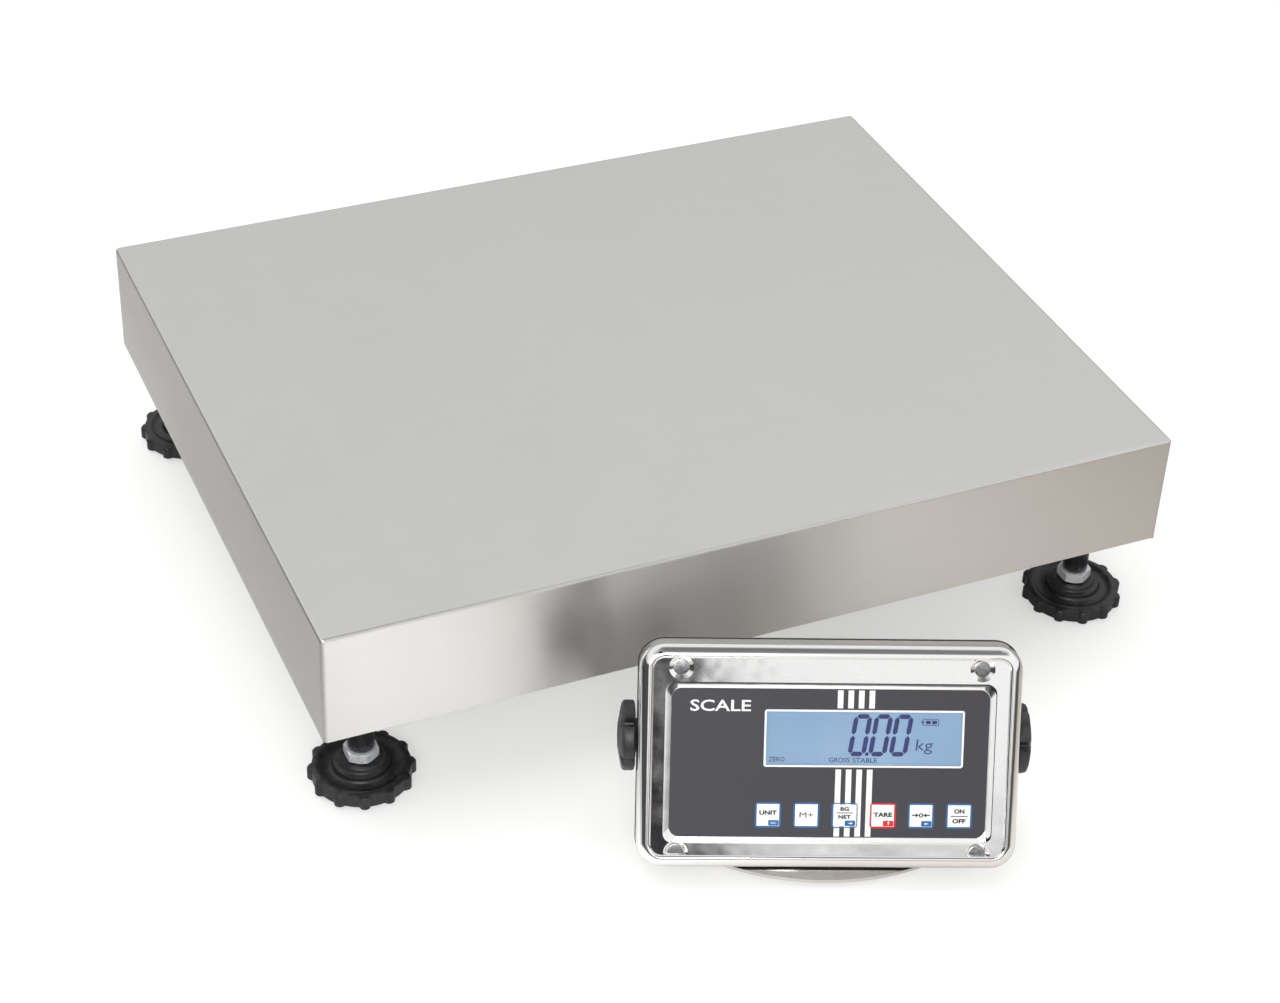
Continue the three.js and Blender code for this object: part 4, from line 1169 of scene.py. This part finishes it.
def make_keys():
    """Six membrane keys with a coloured border, an embossed white field and their print."""
    for order, key in enumerate(KEYS):
        x = KEY_X + order * KEY_PITCH
        body = "key_" + key
        ink, slot = (RED_INK, "key_red") if key == "tare" else (BLUE_INK, "key_blue")
        cap = slab(f"key_cap_{key}", KEY_SIZE, KEY_SIZE, 1, -1.5, OVERLAY_TOP + 0.02, (x, KEY_Y), 4)
        pick(cap, "FACE", lambda centre, normal: normal.z > 0.9)
        inset_cap(0.2, 0.02)
        inset_cap(0.25, KEY_TOP - OVERLAY_TOP - 0.04)
        done()
        smooth(cap, 50)
        settle(cap, HEAD, body, ink, [body])
        cap.data.materials.append(WHITE_INK)
        into_key = HEAD.inverted()
        for face in cap.data.polygons:
            spot = into_key @ face.center
            if abs(spot.x - x) < 5.76 and abs(spot.y - KEY_Y) < 5.76 and spot.z > OVERLAY_TOP:
                face.material_index = 1
        edge = slab(f"key_frame_{key}", KEY_SIZE + 1.5, KEY_SIZE + 1.5, 1.6, OVERLAY_TOP,
                    OVERLAY_TOP + INK, (x, KEY_Y), 5)
        cut(edge, slab("hole", KEY_SIZE + 0.2, KEY_SIZE + 0.2, 1.05, -3, 3, (x, KEY_Y), 4))
        settle(edge, HEAD, "head", ink)
        dark, pale = key_print(key, x)
        settle(joined("legend_" + key, dark), HEAD, body, DARK_INK)
        if pale:
            tab = slab("corner_tab_" + key, 5.4, 2.9, 0.5, KEY_TOP, KEY_TOP + INK,
                       (x + 2.9, KEY_Y - 4.1), 3)
            settle(tab, HEAD, body, ink)
            settle(joined("tab_mark_" + key, pale), HEAD, body, WHITE_INK)


def segment(start, end, width=2.4):
    """One bar of a digit, with pointed ends."""
    (x1, y1), (x2, y2) = start, end
    length = math.hypot(x2 - x1, y2 - y1) - 0.5
    bar = plate("bar", length, width, 0, 0)
    rounded(bar, "VERT", always, width / 2 - 0.02, 1)
    raised(bar, INK)
    turn(bar, math.degrees(math.atan2(y2 - y1, x2 - x1)), "Z")
    return shift(bar, (x1 + x2) / 2, (y1 + y2) / 2, 0)


def make_display():
    """Clear window with its pale border, and the display module behind it, its field glowing with
    painted light.
    """
    pane = slab("display_pane", WINDOW_WIDTH, WINDOW_HEIGHT, 1.2, -1.2, -0.8,
                (WINDOW_X, WINDOW_Y))
    bevelled(pane, 0.06, 1)
    smooth(pane)
    settle(pane, HEAD, "head", WINDOW, ["display_window"])
    border = ring("display_border", WINDOW_WIDTH, WINDOW_HEIGHT, 1.4, -0.79,
                  (WINDOW_X, WINDOW_Y), 10, 1.0, 0.08)
    settle(border, HEAD, "head", WHITE_INK)

    low, high = (WINDOW_X - 53.2, WINDOW_Y - 17.0), (WINDOW_X + 53.2, WINDOW_Y + 17.0)
    module = cuboid("display_module", (*low, -7), (*high, LCD_TOP))
    bevelled(module, 0.4, 2)
    pick(module, "FACE", lambda centre, normal: normal.z > 0.99)
    bpy.ops.mesh.inset(thickness=1.2)
    bpy.ops.transform.translate(value=(0, 0, -0.05))
    done()
    settle(module, HEAD, "head", BLACK, ["lcd_module"])
    module.data.materials.append(FIELD)
    back = HEAD.inverted()
    for face in module.data.polygons:
        spot = back @ face.center
        inner = abs(spot.x - WINDOW_X) < 1 and abs(spot.y - WINDOW_Y) < 1
        if inner and spot.z > LCD_TOP - 0.2:
            face.material_index = 1

    bars = []
    wide, tall, pitch, left, foot = 7.0, 19.8, 10.6, 10.3, 5.0
    for digit in range(3):
        x = left + digit * pitch
        mid, top = foot + tall / 2, foot + tall
        bars += [segment((x, foot), (x + wide, foot)), segment((x, top), (x + wide, top)),
                 segment((x, foot), (x, mid)), segment((x, mid), (x, top)),
                 segment((x + wide, foot), (x + wide, mid)),
                 segment((x + wide, mid), (x + wide, top))]
    point = slab("point", 1.7, 1.7, 0, 0, INK, (left + wide + 1.8, foot))
    digits = joined("display_digits", bars + [point])
    level = LCD_TOP - 0.04
    digits.data.transform(Matrix(((1, DIGIT_SLANT, 0, -DIGIT_SLANT * foot), (0, 1, 0, 0),
                                  (0, 0, 1, level), (0, 0, 0, 1))))
    settle(digits, HEAD, "head", SEGMENT_INK)
    words = [lettering("w", "kg", 8.6, (48.6, 9.0), level, 8.6, -0.05, 0.1),
             lettering("w", "ZERO", 3.5, (-27.2, 1.9), level, 8.2, 0.02),
             lettering("w", "GROSS", 3.5, (5.0, 1.7), level, 10.6, 0.02),
             lettering("w", "STABLE", 3.5, (18.2, 1.6), level, 12.6, 0.02)]
    cell = [rule(51.6, 23.4, 8.0, 0.3, level), rule(51.6, 20.4, 8.0, 0.3, level),
            rule(47.7, 21.9, 0.3, 3.2, level), rule(55.5, 21.9, 0.3, 3.2, level),
            rule(50.2, 21.9, 2.5, 1.7, level), rule(53.4, 21.9, 2.5, 1.7, level),
            rule(47.1, 21.9, 0.8, 1.2, level)]
    settle(joined("display_words", words + cell), HEAD, "head", SEGMENT_INK)
    name = lettering("nameplate_word", "SCALE", 8.2, (-56.6, 30.2), OVERLAY_TOP, 31, 0.12)
    settle(name, HEAD, "head", WHITE_INK)


def make_inside():
    """What the closed housing hides: the board with its parts, and the battery."""
    board = cuboid("printed_board", (-72, -32, -11), (72, 32, -9.4))
    bevelled(board, 0.2, 1)
    settle(board, HEAD, "head", BOARD_GREEN, ["main_board"])
    chips = ((-40, -12, 14, 14), (10, -10, 22, 9), (44, 8, 9, 16))
    for count, (x, y, wide, tall) in enumerate(chips, 1):
        chip = cuboid(f"board_chip_{count}", (x, y, -12.8), (x + wide, y + tall, -11))
        bevelled(chip, 0.3, 1)
        settle(chip, HEAD, "head", BLACK)
    pack = cuboid("battery_sleeve", (-55, -8, -36), (55, 30, -16))
    bevelled(pack, 4, 5)
    smooth(pack)
    settle(pack, HEAD, "head", BATTERY_BLUE, ["battery_pack"])


def make_knobs():
    """Five-lobed clamping knobs with a dished cap."""
    sides, lobes = 120, 5
    knob = turned("knob", [
        (2.7, 86.4), (3, 86.8), (3, 96.8), (8.4, 96.8), (8.9, 97.2), (8.9, 98.8), (14.2, 98.9),
        (15.5, 99.3), (16, 100.2), (16, 104.2), (15.6, 105.2), (14.6, 105.8), (13, 106.3),
        (10, 107.1), (7.4, 107.6), (7.1, 107.2), (6.5, 107.2), (6.1, 107.8), (2, 108)], sides)
    for step, reach in enumerate(KNOB_REACH):
        for low, high, share in ((13.9, 16.2, 1.0), (12.9, 13.1, 0.8)):
            pick(knob, "VERT", lambda p: p.z > 98.85 and low < p.xy.length < high
                 and phase(p, sides, lobes) == step)
            size = 1 + share * (reach / KNOB_RADIUS - 1)
            resize_cap(size, size)
            done()
    smooth(knob, 32)
    for side, way in (("left", -1), ("right", 1)):
        settle(copied(knob, "star_knob_" + side), on_tilt_axis(way), "knob_" + side,
               KNOB_BLACK, ["knob_" + side])
    bpy.data.objects.remove(knob)


def make_stand():
    """A bent strip stand: two upright ears on a base plate with a round front edge."""
    reach = ARM_FACE - BEND_RADIUS
    top = PIVOT.z / MM + ARM_RADIUS
    bpy.ops.mesh.primitive_circle_add(vertices=256, radius=BASE_ARC, fill_type="NGON",
                                      location=(0, BASE_ARC - BASE_FRONT, BASE_LEVEL))
    base = added("stand_plate")
    for spot, way in (((0, BASE_REAR, 0), (0, 1, 0)), ((reach, 0, 0), (1, 0, 0)),
                      ((-reach, 0, 0), (-1, 0, 0))):
        pick(base, "FACE", always)
        bpy.ops.mesh.bisect(plane_co=spot, plane_no=way, clear_outer=True)
        done()
    rounded(base, "VERT", lambda p: abs(abs(p.x) - reach) < 0.01, 3, 6)
    raised(base, ARM_SHEET)
    for way in (-1, 1):
        bpy.ops.mesh.primitive_plane_add(size=1, location=(way * (reach - 20), 0, BASE_LEVEL))
        bpy.context.object.scale = (40, 2 * ARM_RADIUS, 1)
        ear = added("ear")
        pick(ear, "EDGE", lambda a, b: max(abs(a.x - way * reach), abs(b.x - way * reach)) < 0.01)
        bpy.ops.mesh.spin(steps=8, angle=math.pi / 2, axis=(0, -way, 0),
                          center=(way * reach, 0, BASE_LEVEL + BEND_RADIUS))
        done()
        pick(ear, "EDGE", lambda a, b: min(a.z, b.z) > BASE_LEVEL + BEND_RADIUS - 0.01
             or min(abs(a.x), abs(b.x)) > ARM_FACE - 0.01)
        bpy.ops.mesh.extrude_region_move(
            TRANSFORM_OT_translate={"value": (0, 0, top - BASE_LEVEL - BEND_RADIUS)})
        done()
        rounded(ear, "VERT", lambda p: p.z > top - 0.01, ARM_RADIUS - 0.02, 16)
        pick(ear, "FACE", always)
        bpy.ops.mesh.remove_doubles(threshold=1e-3)
        bpy.ops.mesh.normals_make_consistent(inside=False)
        done()
        outer = max(ear.data.polygons, key=lambda face: face.center.z)
        if outer.normal.x * way < 0:
            pick(ear, "FACE", always)
            bpy.ops.mesh.flip_normals()
            done()
        thick(ear, ARM_SHEET)
        outward(ear)
        combine(base, ear, "UNION")
    bevelled(base, 0.45, 2, 50)
    smooth(base, 40)
    settle(base, STAND, "stand", POLISHED, ["stand_bracket"])
    foot = turned("foot", [(4.4, 0), (5.3, 0.15), (6, 0.9), (6, 2.2), (5.8, 2.5)], 40)
    smooth(foot)
    for corner in CORNERS:
        settle(copied(foot, "table_foot_" + corner), on_floor("stand_foot_" + corner), "stand",
               RUBBER, ["stand_foot_" + corner])
    bpy.data.objects.remove(foot)


# ---- Studio ----
CAMERA_TURN = 0.43458532, 0.63852244, 0.0465336   # yaw, pitch down and roll
CAMERA_LENS = 77.37
PAN_MIDDLE_SEEN = -9.4639, 94.0673, 1604.08       # right, up and ahead of the camera


def make_camera():
    yaw, pitch, roll = CAMERA_TURN
    aim = Vector((math.sin(yaw) * math.cos(pitch), math.cos(yaw) * math.cos(pitch),
                  -math.sin(pitch)))
    level_right = Vector((math.cos(yaw), -math.sin(yaw), 0))
    level_up = level_right.cross(aim)
    right = level_right * math.cos(roll) + level_up * math.sin(roll)
    up = level_up * math.cos(roll) - level_right * math.sin(roll)
    low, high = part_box("weighing_pan")
    target = Vector((*middle_of(low, high)[:2], high.z))
    data = bpy.data.cameras.new("studio_camera")
    data.lens = CAMERA_LENS
    data.sensor_width = 36
    data.clip_start, data.clip_end = 0.05, 60
    camera = bpy.data.objects.new("studio_camera", data)
    bpy.context.scene.collection.objects.link(camera)
    turn_to = Matrix((right, up, -aim)).transposed().to_4x4()
    rightward, upward, ahead = PAN_MIDDLE_SEEN
    spot = target - (right * rightward + up * upward + aim * ahead) * MM
    camera.matrix_world = Matrix.Translation(spot) @ turn_to
    bpy.context.scene.camera = camera


def softbox(name, spot, target, size, energy, mirrored=False):
    data = bpy.data.lights.new(name, "AREA")
    data.shape = "RECTANGLE"
    data.size, data.size_y = size
    data.energy = energy
    lamp = bpy.data.objects.new(name, data)
    bpy.context.scene.collection.objects.link(lamp)
    lamp.location = spot
    lamp.rotation_euler = (Vector(target) - Vector(spot)).to_track_quat("-Z", "Y").to_euler()
    lamp.visible_glossy = mirrored


def ramp_of(w, value, stops, kind="LINEAR"):
    """Grey levels along a value from 0 to 1."""
    ramp = w.add("ShaderNodeValToRGB")
    w.link(value, ramp.inputs[0])
    ramp.color_ramp.interpolation = kind
    elements = ramp.color_ramp.elements
    (first, low), *between, (last, high) = stops
    elements[0].position, elements[0].color = first, (low, low, low, 1)
    elements[1].position, elements[1].color = last, (high, high, high, 1)
    for position, grey in between:
        elements.new(position).color = (grey, grey, grey, 1)
    return ramp.outputs[0]


def make_studio():
    """A pale floor and surroundings. Reflections see them darker, and uneven, so that the
    steel has something to show: the floor's colour for reflection rays is painted reflection."""
    bpy.ops.mesh.primitive_plane_add(size=24, location=(0, 0, 0))
    floor = added("studio_floor")
    paper, w, into = new_finish("floor_paper", Roughness=0.9, Specular_IOR_Level=0.1)
    slow = w.noise(w.place(), 1.3, 2.0)
    place = w.add("ShaderNodeSeparateXYZ")
    w.link(w.place(), place.inputs[0])
    # Painted reflection: for reflection rays the floor gets dark bands by X, a near-black band far
    # left and a dark strip far in front, and glows a little in that colour, so the steel mirrors
    # dark patches. The camera sees an even pale floor.
    across = w.ranged(place.outputs["X"], -0.30, -0.20)
    along = w.ranged(place.outputs["X"], -0.14, -0.02)
    painted_reflection_floor = w.mixed(along, (0.96, 0.95, 0.94, 1), (0.68, 0.65, 0.62, 1))
    painted_reflection_floor = w.mixed(across, (0.46, 0.45, 0.44, 1), painted_reflection_floor)
    far = w.ranged(place.outputs["X"], 0.12, 0.36)
    painted_reflection_floor = w.mixed(far, painted_reflection_floor, (0.42, 0.38, 0.34, 1))
    painted_reflection_floor = w.mixed(w.ranged(place.outputs["X"], -0.46, -0.56), painted_reflection_floor, (0.03, 0.03, 0.03, 1))
    painted_reflection_floor = w.mixed(w.ranged(place.outputs["Y"], -0.75, -0.9), painted_reflection_floor, (0.10, 0.10, 0.10, 1))
    lit = w.add("ShaderNodeLightPath").outputs["Is Camera Ray"]
    seen = w.mixed(slow, (0.50, 0.50, 0.495, 1), (0.52, 0.52, 0.52, 1))
    w.link(w.mixed(lit, painted_reflection_floor, seen), into["Base Color"])
    glow = w.scaled(painted_reflection_floor, (0.12, 0.12, 0.12))
    w.link(w.mixed(lit, glow, (0.5, 0.5, 0.495, 1)), into["Emission Color"])
    into["Emission Strength"].default_value = 1.0
    floor.data.materials.append(paper)

    world = bpy.data.worlds.new("studio_light")
    bpy.context.scene.world = world
    world.use_nodes = True
    w = Wiring(world.node_tree)
    background = world.node_tree.nodes["Background"]
    parts = w.add("ShaderNodeSeparateXYZ")
    w.link(w.place("Generated"), parts.inputs[0])
    behind = ramp_of(w, parts.outputs["Z"], (
        (0.0, 0.25), (0.3, 0.45), (0.46, 0.62), (0.60, 1.15), (0.72, 1.7), (0.90, 1.9),
        (0.95, 0.6), (1.0, 0.2)), "B_SPLINE")
    ahead = ramp_of(w, parts.outputs["Z"], (
        (0.0, 0.08), (0.10, 0.11), (0.15, 0.6), (0.19, 1.08), (0.72, 1.15), (0.84, 0.3),
        (1.0, 0.1)))
    into_gap = w.ranged(parts.outputs["X"], -0.43, -0.40)
    out_of_gap = w.ranged(parts.outputs["X"], -0.30, -0.28)
    gap = w.maths("SUBTRACT", into_gap, out_of_gap)
    ahead = w.mixed(gap, ahead, (0.03, 0.03, 0.035, 1))
    wing = w.maths("MULTIPLY", w.ranged(parts.outputs["X"], -0.66, -0.71),
                   w.ranged(parts.outputs["Z"], 0.38, 0.30))
    side = w.ranged(parts.outputs["Y"], -0.5, 0.3, 1.0, 0.0, ease="SMOOTHSTEP")
    sky = w.mixed(side, behind, ahead)
    sky = w.mixed(wing, sky, (0.08, 0.08, 0.085, 1))
    seen = w.add("ShaderNodeLightPath").outputs["Is Camera Ray"]
    w.link(w.mixed(seen, sky, (0.94, 0.94, 0.935, 1)), background.inputs["Color"])

    softbox("overhead_light", (-0.3, 0.6, 2.4), (0, 0, 0), (2.6, 2.6), 36)
    softbox("front_light", (-0.9, -1.5, 1.0), (-0.25, -0.35, 0), (1.0, 0.6), 14,
            mirrored=True)
    softbox("right_light", (2.6, -1.0, 1.4), (0, 0, 0.05), (1.0, 1.6), 4)
    bpy.context.scene.view_settings.view_transform = "Standard"


make_camera()
make_pan()
make_frame()
make_end_caps()
make_buffers()
make_cap_screws()
make_level()
gland_low, gland_high = in_mm("platform_cable_gland")
gland_x, _, gland_z = middle_of(gland_low, gland_high)
make_gland("beam_gland", 9, 20,
           WORLD @ Matrix.Translation((gland_x, gland_high[1] - GLAND_DEPTH, gland_z))
           @ Matrix.Rotation(math.pi / 2, 4, "X"), "base", "platform_cable_gland")
make_feet()
make_front_shell()
make_gasket()
make_rear_shell()
make_cover_screws()
make_keypad()
make_keys()
make_display()
make_inside()
for side, x in (("left", -30), ("right", 30)):
    make_gland(f"housing_gland_{side}", 8, 18,
               HEAD @ Matrix.Translation((x, -14, -42.5)) @ Matrix.Rotation(math.pi, 4, "Y"),
               "head", "inlet_gland_" + side)
make_knobs()
make_stand()
make_studio()
